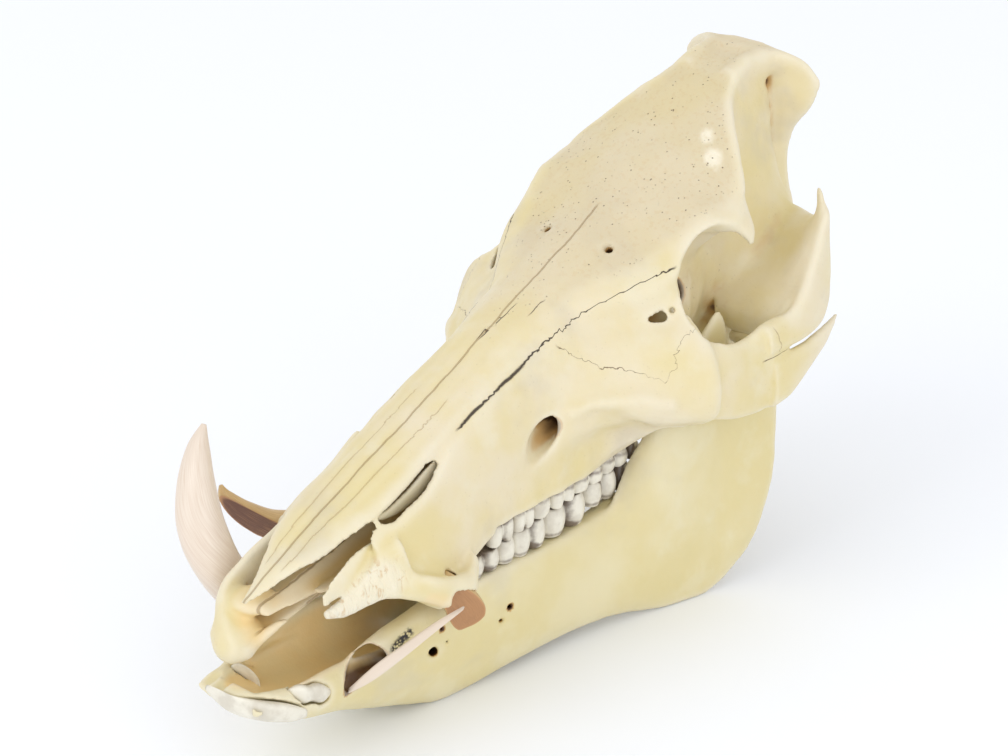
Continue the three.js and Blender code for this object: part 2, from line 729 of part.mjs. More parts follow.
// One cheek tooth: wide at the gum and worn flat at the bite
function cheekTooth(set, index, direction) {
  const start = set.starts[index] + restGap / 2;
  const end = set.starts[index + 1] - restGap / 2;
  const middle = (start + end) / 2;
  const half = set.width[index] / 2;
  const outline = lobedOutline(set.lobes[index]);
  const layer = (share, wide, long) => outline.map(([x, t]) => {
    const y = start + t * (end - start);
    const [, xEdge, zGum] = rowAt(set.rows, y);
    const zRoot = zGum - direction * rootDepth;
    const zBite = biteHeight(y) - direction * restGap;
    return [xEdge - half + x * half * wide, middle + (y - middle) * long,
      zRoot + share * (zBite - zRoot)];
  });
  return loft([layer(0, 0.86, 0.9), layer(0.6, 1, 1), layer(1, 0.72, 0.86)]);
}

// Flat-bottomed groove that makes room for a row of teeth.
// Each row is y, x of its inner and outer wall, z of its floor, z of its open side.
function groove(rows) {
  return bothSides(loft(rows.map(([y, xIn, xOut, zFloor, zOpen]) => [
    [xIn, y, zFloor], [xOut, y, zFloor], [xOut, y, zOpen], [xIn, y, zOpen]])));
}

function upperGroove() {
  const first = upperTeeth.starts[0] - 1;
  const last = upperTeeth.starts[upperTeeth.starts.length - 1] + 1;
  return groove([first, 150, 195, last].map((y) => {
    const [, xEdge, zGum] = rowAt(upperTeeth.rows, y);
    return [y, xEdge - widthAt(upperTeeth, y) - 1, 42, zGum + rootDepth + restGap, 60];
  }));
}

function lowerGroove() {
  const first = lowerTeeth.starts[0] - 1;
  const last = lowerTeeth.starts[lowerTeeth.starts.length - 1] + 1;
  return groove([first, 125, 170, 200, last].map((y) => {
    const [, xEdge, zGum] = rowAt(lowerTeeth.rows, y);
    return [y, 12, xEdge + 1, zGum - rootDepth - restGap, 95];
  }));
}

// Widest tooth at a place along the row
function widthAt(set, y) {
  const index = set.starts.findIndex((start, k) => y < set.starts[k + 1]);
  return set.width[index < 0 ? set.width.length - 1 : index] + 2;
}

// Meshes

function meshFrom(solid, name, colour, roughness) {
  const { vertProperties, triVerts } = solid.getMesh();
  const geometry = new THREE.BufferGeometry();
  geometry.setAttribute('position', new THREE.BufferAttribute(new Float32Array(vertProperties), 3));
  geometry.setIndex(new THREE.BufferAttribute(new Uint32Array(triVerts), 1));
  geometry.computeVertexNormals();
  const material = new THREE.MeshStandardMaterial({ color: colour, roughness, metalness: 0 });
  const mesh = new THREE.Mesh(geometry, material);
  mesh.name = name;
  return mesh;
}

const skull = new THREE.Group();

const upperRow = toothNames.map((name, i) => [name, cheekTooth(upperTeeth, i, -1)]);
const lowerRow = toothNames.map((name, i) => [name, cheekTooth(lowerTeeth, i, 1)]);

const craniumSolid = cranium().subtract(upperTuskSocket('right'))
  .subtract(upperTuskSocket('left')).subtract(upperGroove())
  .subtract(lowerTuskRight(2 * restGap));
const mandibleSolid = Object.values(frontTeeth).reduce(
  (jaw, rows) => jaw.subtract(frontTooth(rows, restGap)),
  mandible().subtract(lowerGroove()),
);

skull.add(meshFrom(mainBody(craniumSolid), 'cranium', boneColour, 0.55));
skull.add(meshFrom(mainBody(mandibleSolid), 'mandible', jawColour, 0.5));
for (const [name, solid] of upperRow) {
  skull.add(meshFrom(solid, `upper_${name}_left`, enamelColour, 0.35));
  skull.add(meshFrom(mirrorSolid(solid), `upper_${name}_right`, enamelColour, 0.35));
}
for (const [name, solid] of lowerRow) {
  skull.add(meshFrom(solid, `lower_${name}_left`, enamelColour, 0.35));
  skull.add(meshFrom(mirrorSolid(solid), `lower_${name}_right`, enamelColour, 0.35));
}
skull.add(meshFrom(lowerTuskRight(), 'lower_tusk_right', ivoryColour, 0.35));
skull.add(meshFrom(lowerTuskSplinter(), 'lower_tusk_left_splinter', ivoryColour, 0.35));
skull.add(meshFrom(upperTusk('right'), 'upper_tusk_right', stainedIvoryColour, 0.4));
skull.add(meshFrom(upperTusk('left'), 'upper_tusk_left', stainedIvoryColour, 0.4));
for (const [name, rows] of Object.entries(frontTeeth)) {
  skull.add(meshFrom(frontTooth(rows), name, enamelColour, 0.3));
}

// The origin is under the middle of the whole skull, on the floor
const bounds = new THREE.Box3().setFromObject(skull);
const middle = bounds.getCenter(new THREE.Vector3());
for (const mesh of skull.children) {
  mesh.geometry.translate(-middle.x, -middle.y, -bounds.min.z);
}

export default skull;
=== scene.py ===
import math

import bpy
import numpy as np
import openvdb as vdb
from mathutils import Matrix, Vector


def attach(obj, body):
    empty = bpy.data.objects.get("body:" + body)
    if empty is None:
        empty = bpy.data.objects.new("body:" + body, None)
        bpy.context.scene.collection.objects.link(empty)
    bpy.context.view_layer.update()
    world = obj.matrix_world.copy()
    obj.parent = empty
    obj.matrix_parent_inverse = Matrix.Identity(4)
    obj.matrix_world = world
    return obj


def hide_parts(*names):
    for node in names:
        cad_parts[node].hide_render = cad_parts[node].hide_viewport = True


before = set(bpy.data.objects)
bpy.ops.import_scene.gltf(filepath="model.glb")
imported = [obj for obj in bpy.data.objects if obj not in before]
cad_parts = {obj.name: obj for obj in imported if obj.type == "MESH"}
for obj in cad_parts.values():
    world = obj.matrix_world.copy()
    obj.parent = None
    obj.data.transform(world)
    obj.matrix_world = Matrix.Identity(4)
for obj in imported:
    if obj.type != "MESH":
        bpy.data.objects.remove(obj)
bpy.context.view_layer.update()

# Every table below is in millimetres: x to the animal's left, y from the snout to the back of
# the head, z up from the floor. The part's origin lies this far behind the table's zero.
originY = 176.0356
voxel = 1.15  # edge of a volume cell, mm


def toFrame(points):
    return (np.asarray(points, float) - [0.0, originY, 0.0]) / 1000.0


# Cubic curve from here to following at share f; its slope at each of them is half the difference
# of their neighbours
def cubic(before, here, following, after, f):
    slopeIn, slopeOut = (following - before) / 2, (after - here) / 2
    return ((2 * f**3 - 3 * f**2 + 1) * here + (f**3 - 2 * f**2 + f) * slopeIn
            + (3 * f**2 - 2 * f**3) * following + (f**3 - f**2) * slopeOut)


# That curve through rows of numbers, with so many steps between two rows
def smoothRows(rows, steps):
    rows = np.asarray(rows, float)
    last = len(rows) - 1
    t = np.linspace(0, last, last * steps + 1)
    i = np.minimum(t.astype(int), last - 1)
    return cubic(rows[np.maximum(i - 1, 0)], rows[i], rows[i + 1], rows[np.minimum(i + 2, last)],
                 (t - i)[:, None])


# Closed skin through rings of points: quads between rings, a fan of triangles over each end
def skinRings(rings):
    count, sides = rings.shape[:2]
    index = np.arange(count * sides).reshape(count, sides)
    beside = np.roll(index, -1, axis=1)
    quads = np.stack([index[:-1], beside[:-1], beside[1:], index[1:]], -1).reshape(-1, 4)
    ends = np.array([rings[0].mean(0), rings[-1].mean(0)])
    start = np.stack([np.full(sides, count * sides), beside[0], index[0]], -1)
    stop = np.stack([np.full(sides, count * sides + 1), index[-1], beside[-1]], -1)
    return np.vstack([rings.reshape(-1, 3), ends]), quads, np.vstack([start, stop])


# Point on a rounded oval at each turn: cosine and sine raised to 2 / squareness
def oval(sides, squareness):
    turn = np.linspace(0, 2 * np.pi, sides, endpoint=False)
    c, s = np.cos(turn), np.sin(turn)
    power = 2 / squareness
    return np.sign(c) * np.abs(c) ** power, np.sign(s) * np.abs(s) ** power


# Limb of bone: centre + c * first half axis + s * second half axis, carried along smooth rows of
# centre, first half axis, second half axis
def limb(rows, sides=28, steps=6, squareness=2.4):
    rows = smoothRows(rows, steps)[:, None, :]
    c, s = oval(sides, squareness)
    return skinRings(rows[..., 0:3] + c[None, :, None] * rows[..., 3:6]
                     + s[None, :, None] * rows[..., 6:9])


# Upright blade: rows of y, upper edge x z, lower edge x z, half thickness, as a limb
def blade(rows, **options):
    y, xTop, zTop, xLow, zLow, half = np.asarray(rows, float).T
    length = np.hypot(xTop - xLow, zTop - zLow)
    zero = np.zeros_like(y)
    return limb(np.stack([(xTop + xLow) / 2, y, (zTop + zLow) / 2,
                          (xTop - xLow) / 2, zero, (zTop - zLow) / 2,
                          (zTop - zLow) / length * half, zero, (xLow - xTop) / length * half],
                         -1), **options)


# Horn: circles of the row's radius square to the path, flattened by one factor
def hornRings(rows, sides=24, steps=8, flat=1.0):
    rows = smoothRows(rows, steps)
    path, radius = rows[:, :3], rows[:, 3]
    along = np.gradient(path, axis=0)
    along /= np.linalg.norm(along, axis=1, keepdims=True)
    side = np.cross([0.0, 0.0, 1.0], along)
    side /= np.linalg.norm(side, axis=1, keepdims=True)
    up = np.cross(along, side)
    turn = np.linspace(0, 2 * np.pi, sides, endpoint=False)
    return (path[:, None] + np.cos(turn)[None, :, None] * (side * radius[:, None])[:, None]
            + np.sin(turn)[None, :, None] * (up * radius[:, None] * flat)[:, None])


def horn(rows, **options):
    return skinRings(hornRings(rows, **options))


def mirrored(mesh):
    return mesh[0] * [-1, 1, 1], mesh[1], mesh[2]


# Bone as a volume: a grid of cells with the distance to the surface, negative inside the bone.
# Distances are true up to band cells from the surface and limited beyond that.
def makeSpace(low, high, step, band=5):
    low = np.floor(np.array(low) / step).astype(int)
    size = np.ceil(np.array(high) / step).astype(int) - low + 1
    return {"step": step, "band": band, "low": low,
            "field": np.full(size, band * step, np.float32)}


# Part of the grid round some points, as slices
def windowOf(space, lowest, highest, margin):
    size = np.array(space["field"].shape)
    a = np.floor(np.asarray(lowest) / space["step"]).astype(int) - space["low"] - margin
    b = np.ceil(np.asarray(highest) / space["step"]).astype(int) - space["low"] + margin + 1
    return tuple(slice(p, q) for p, q in zip(np.clip(a, 0, size), np.clip(b, 0, size)))


# Distance to a closed skin, worked out by the volume library
def skinField(space, mesh):
    points, quads, tris = mesh
    window = windowOf(space, points.min(0), points.max(0), space["band"] + 1)
    grid = vdb.FloatGrid.createLevelSetFromPolygons(
        points.astype(np.float32), triangles=tris.astype(np.uint32),
        quads=quads.astype(np.uint32),
        transform=vdb.createLinearTransform(voxelSize=space["step"]), halfWidth=space["band"])
    block = np.empty(space["field"][window].shape, np.float32)
    grid.copyToArray(block, ijk=tuple(int(s.start + low) for s, low in zip(window, space["low"])))
    return window, block


def cellCentres(space, window):
    axes = [np.arange(s.start, s.stop) + low for s, low in zip(window, space["low"])]
    return [a.astype(np.float32) * space["step"] for a in np.meshgrid(*axes, indexing="ij")]


# Distance to an egg: (k - 1) * k / |p / r^2|, where k = |p / r|
def eggField(space, centre, radii):
    centre, radii = np.asarray(centre, float), np.asarray(radii, float)
    window = windowOf(space, centre - radii, centre + radii, space["band"])
    x, y, z = (c - m for c, m in zip(cellCentres(space, window), centre))
    k = np.sqrt((x / radii[0]) ** 2 + (y / radii[1]) ** 2 + (z / radii[2]) ** 2)
    g = np.sqrt((x / radii[0] ** 2) ** 2 + (y / radii[1] ** 2) ** 2 + (z / radii[2] ** 2) ** 2)
    limit = space["band"] * space["step"]
    return window, np.clip(k * (k - 1) / np.maximum(g, 1e-6), -limit, limit).astype(np.float32)


# Distance to a path of straight stretches; extra columns of the rows are read at the nearest point
def pathField(space, rows, reach):
    rows = np.asarray(rows, float)
    window = windowOf(space, rows[:, :3].min(0) - reach, rows[:, :3].max(0) + reach, 0)
    x, y, z = cellCentres(space, window)
    best = np.full(x.shape, np.inf, np.float32)
    extra = [np.zeros(x.shape, np.float32) for _ in range(rows.shape[1] - 3)]
    for a, b in zip(rows[:-1], rows[1:]):
        d = b[:3] - a[:3]
        t = ((x - a[0]) * d[0] + (y - a[1]) * d[1] + (z - a[2]) * d[2]) / max(d @ d, 1e-9)
        t = np.clip(t, 0, 1)
        gap = np.sqrt((x - a[0] - t * d[0]) ** 2 + (y - a[1] - t * d[1]) ** 2
                      + (z - a[2] - t * d[2]) ** 2)
        nearer = gap < best
        best[nearer] = gap[nearer]
        for k, values in enumerate(extra):
            values[nearer] = (a[3 + k] + t * (b[3 + k] - a[3 + k]))[nearer]
    return window, best, extra


# The lesser of two distances; where they are within soft of each other it dips below both, which
# fills the seam with a fillet
def softLesser(a, b, soft, where=True):
    reach = np.maximum(soft - np.abs(a - b), 0) / soft * where
    return np.minimum(a, b) - reach**2 * soft / 4


# Adds a solid, or with sign -1 takes it away and rounds the new edge. Cells whose distance is
# near its limit get no fillet.
def blend(space, windowAndBlock, soft, sign):
    window, block = windowAndBlock
    field = sign * space["field"][window]
    limit = 0.97 * space["band"] * space["step"]
    near = (field <= limit) & (block <= limit)
    space["field"][window] = sign * softLesser(field, block, soft, near)


def join(space, windowAndBlock, soft):
    blend(space, windowAndBlock, soft, 1)


def carve(space, windowAndBlock, soft=1.5):
    blend(space, windowAndBlock, soft, -1)


# Raises (or with a negative height lowers) the surface along a path, bell-shaped across it
def swell(space, rows, width, height):
    bellEnd = 2.4 * width
    window, gap, _ = pathField(space, rows, bellEnd)
    space["field"][window] -= height * np.exp(-(gap / width) ** 2)


# A hole along rows of point and radius
def bore(space, rows, soft=0.8):
    margin = 4
    window, gap, (radius,) = pathField(space, rows, max(r[3] for r in rows) + margin)
    carve(space, (window, gap - radius), soft)


# Joins or carves the named rows of a table as one kind of shape, on both sides or as written
def shaper(space, table):
    def shape(change, kind, names, soft, both=True):
        for name in names.split():
            mesh = kind(table[name])
            for part in (mesh, mirrored(mesh)) if both else (mesh,):
                change(space, skinField(space, part), soft)
    return shape


# Rows that start with a point, on the animal's left (side 1) or mirrored to the right (side -1)
def onSide(rows, side):
    rows = np.array(rows, float)
    rows[:, 0] *= side
    return rows


# Slow uneven growth: random heights on a coarse lattice, joined by smooth curves
def unevenField(shape, step, size, seed):
    rng = np.random.default_rng(seed)
    cells = [max(int(n * step / size) + 3, 4) for n in shape]
    lattice = rng.standard_normal(cells).astype(np.float32)
    for axis, n in enumerate(shape):
        t = np.arange(n) * step / size
        i = np.minimum(t.astype(int), cells[axis] - 2)
        f = t - i
        f = (f * f * (3 - 2 * f)).astype(np.float32)
        view = [None] * 3
        view[axis] = slice(None)
        low = np.take(lattice, i, axis=axis)
        high = np.take(lattice, i + 1, axis=axis)
        lattice = low + (high - low) * f[tuple(view)]
    return lattice


# Lumps all over the surface, from rows of height, size and seed
def roughen(space, rows):
    shape, step = space["field"].shape, space["step"]
    space["field"] += sum(height * unevenField(shape, step, size, seed)
                          for height, size, seed in rows)


# Mean of the cells in a cube round each cell, by running sums along each axis
def blurred(volume, cells):
    out = volume.astype(np.float32)
    for axis in range(3):
        pad = [(0, 0)] * 3
        pad[axis] = (cells + 1, cells)
        total = np.cumsum(np.pad(out, pad, mode="edge"), axis=axis, dtype=np.float32)
        n = out.shape[axis]
        ahead = np.take(total, np.arange(2 * cells + 1, 2 * cells + 1 + n), axis=axis)
        out = (ahead - np.take(total, np.arange(n), axis=axis)) / (2 * cells + 1)
    return out


# Value of a volume at loose points, mixed from the eight cells round each
def sampled(space, volume, points):
    place = points / space["step"] - space["low"]
    size = np.array(volume.shape)
    i = np.clip(np.floor(place).astype(int), 0, size - 2)
    f = np.clip(place - i, 0, 1)
    total = np.zeros(len(points))
    for corner in range(8):
        pick = [(corner >> k) & 1 for k in range(3)]
        weight = np.prod([f[:, k] if pick[k] else 1 - f[:, k] for k in range(3)], axis=0)
        total += weight * volume[i[:, 0] + pick[0], i[:, 1] + pick[1], i[:, 2] + pick[2]]
    return total


def addObject(name, data):
    made = bpy.data.objects.new(name, data)
    bpy.context.scene.collection.objects.link(made)
    return made


def makeObject(name, points, quads, tris=None):
    tris = np.zeros((0, 3), int) if tris is None else tris
    corners = np.concatenate([quads.ravel(), tris.ravel()]).astype(np.int32)
    starts = np.concatenate([np.arange(len(quads)) * 4,
                             len(quads) * 4 + np.arange(len(tris)) * 3]).astype(np.int32)
    mesh = bpy.data.meshes.new(name)
    mesh.vertices.add(len(points))
    mesh.vertices.foreach_set("co", toFrame(points).astype(np.float32).ravel())
    mesh.loops.add(len(corners))
    mesh.loops.foreach_set("vertex_index", corners)
    mesh.polygons.add(len(starts))
    mesh.polygons.foreach_set("loop_start", starts)
    mesh.polygons.foreach_set("use_smooth", np.ones(len(starts), bool))
    mesh.update(calc_edges=True)
    mesh.validate()
    return addObject(name, mesh)


# Moves every point a share of the way to the mean of its neighbours
def relaxed(points, quads, share, rounds):
    edges = np.concatenate([quads[:, [0, 1]], quads[:, [1, 2]], quads[:, [2, 3]],
                            quads[:, [3, 0]]])
    count = np.bincount(edges.ravel(), minlength=len(points)).astype(float)[:, None]
    for _ in range(rounds):
        total = np.stack([np.bincount(edges[:, 0], points[edges[:, 1], k], len(points))
                          + np.bincount(edges[:, 1], points[edges[:, 0], k], len(points))
                          for k in range(3)], -1)
        points = points + share * (total / count - points)
    return points


# Surface where the field is zero, as quads relaxed so many rounds
def surfaceOf(space, rounds):
    grid = vdb.FloatGrid(float(space["band"] * space["step"]))
    grid.transform = vdb.createLinearTransform(voxelSize=space["step"])
    grid.copyFromArray(np.ascontiguousarray(space["field"]),
                       ijk=tuple(int(v) for v in space["low"]))
    points, quads = grid.convertToQuads(0.0)
    quads = quads.astype(np.int64)
    return relaxed(points.astype(float), quads, 0.5, rounds), quads


# The same as an object with at most so many triangles
def objectFrom(space, name, mostTriangles):
    points, quads = surfaceOf(space, 2)
    made = makeObject(name, points, quads)
    if len(quads) * 2 > mostTriangles:
        fewer = made.modifiers.new("fewer", "DECIMATE")
        fewer.ratio = mostTriangles / (len(quads) * 2)
        depsgraph = bpy.context.evaluated_depsgraph_get()
        thin = bpy.data.meshes.new_from_object(made.evaluated_get(depsgraph))
        made.modifiers.clear()
        made.data = thin
        thin.polygons.foreach_set("use_smooth", np.ones(len(thin.polygons), bool))
    print(name, "triangles", sum(len(p.vertices) - 2 for p in made.data.polygons))
    return made


def pointsOf(made):
    co = np.empty(len(made.data.vertices) * 3, np.float32)
    made.data.vertices.foreach_get("co", co)
    return co.reshape(-1, 3).astype(float) * 1000 + [0, originY, 0]


def normalsOf(made):
    no = np.empty(len(made.data.vertices) * 3, np.float32)
    made.data.vertex_normals.foreach_get("vector", no)
    return no.reshape(-1, 3).astype(float)


def paint(made, name, values):
    layer = made.data.attributes.new(name, "FLOAT", "POINT")
    layer.data.foreach_set("value", np.asarray(values, np.float32))


farAside = 30.0  # mm, beyond the reach of every seam


# How far each point lies to one side of a curve on the surface (signed), and how far along it;
# the first and the last stretch run on past their ends
def sideOfCurve(points, normals, curve):
    curve = np.asarray(curve, float)
    best = np.full(len(points), np.inf)
    side, along = np.zeros(len(points)), np.zeros(len(points))
    start = 0.0
    for k, (a, b) in enumerate(zip(curve[:-1], curve[1:])):
        d = b - a
        length = np.linalg.norm(d)
        t = (points - a) @ d / length**2
        kept = np.clip(t, -9.0 if k == 0 else 0.0, 9.0 if k == len(curve) - 2 else 1.0)
        off = points - a - kept[:, None] * d
        gap = np.linalg.norm(off, axis=1)
        nearer = gap < best
        best[nearer] = gap[nearer]
        across = np.cross(d / length, normals)
        side[nearer] = (np.sign((across * off).sum(1)) * gap)[nearer]
        along[nearer] = (start + kept * length)[nearer]
        start += length
    return np.clip(side, -farAside, farAside), along, start

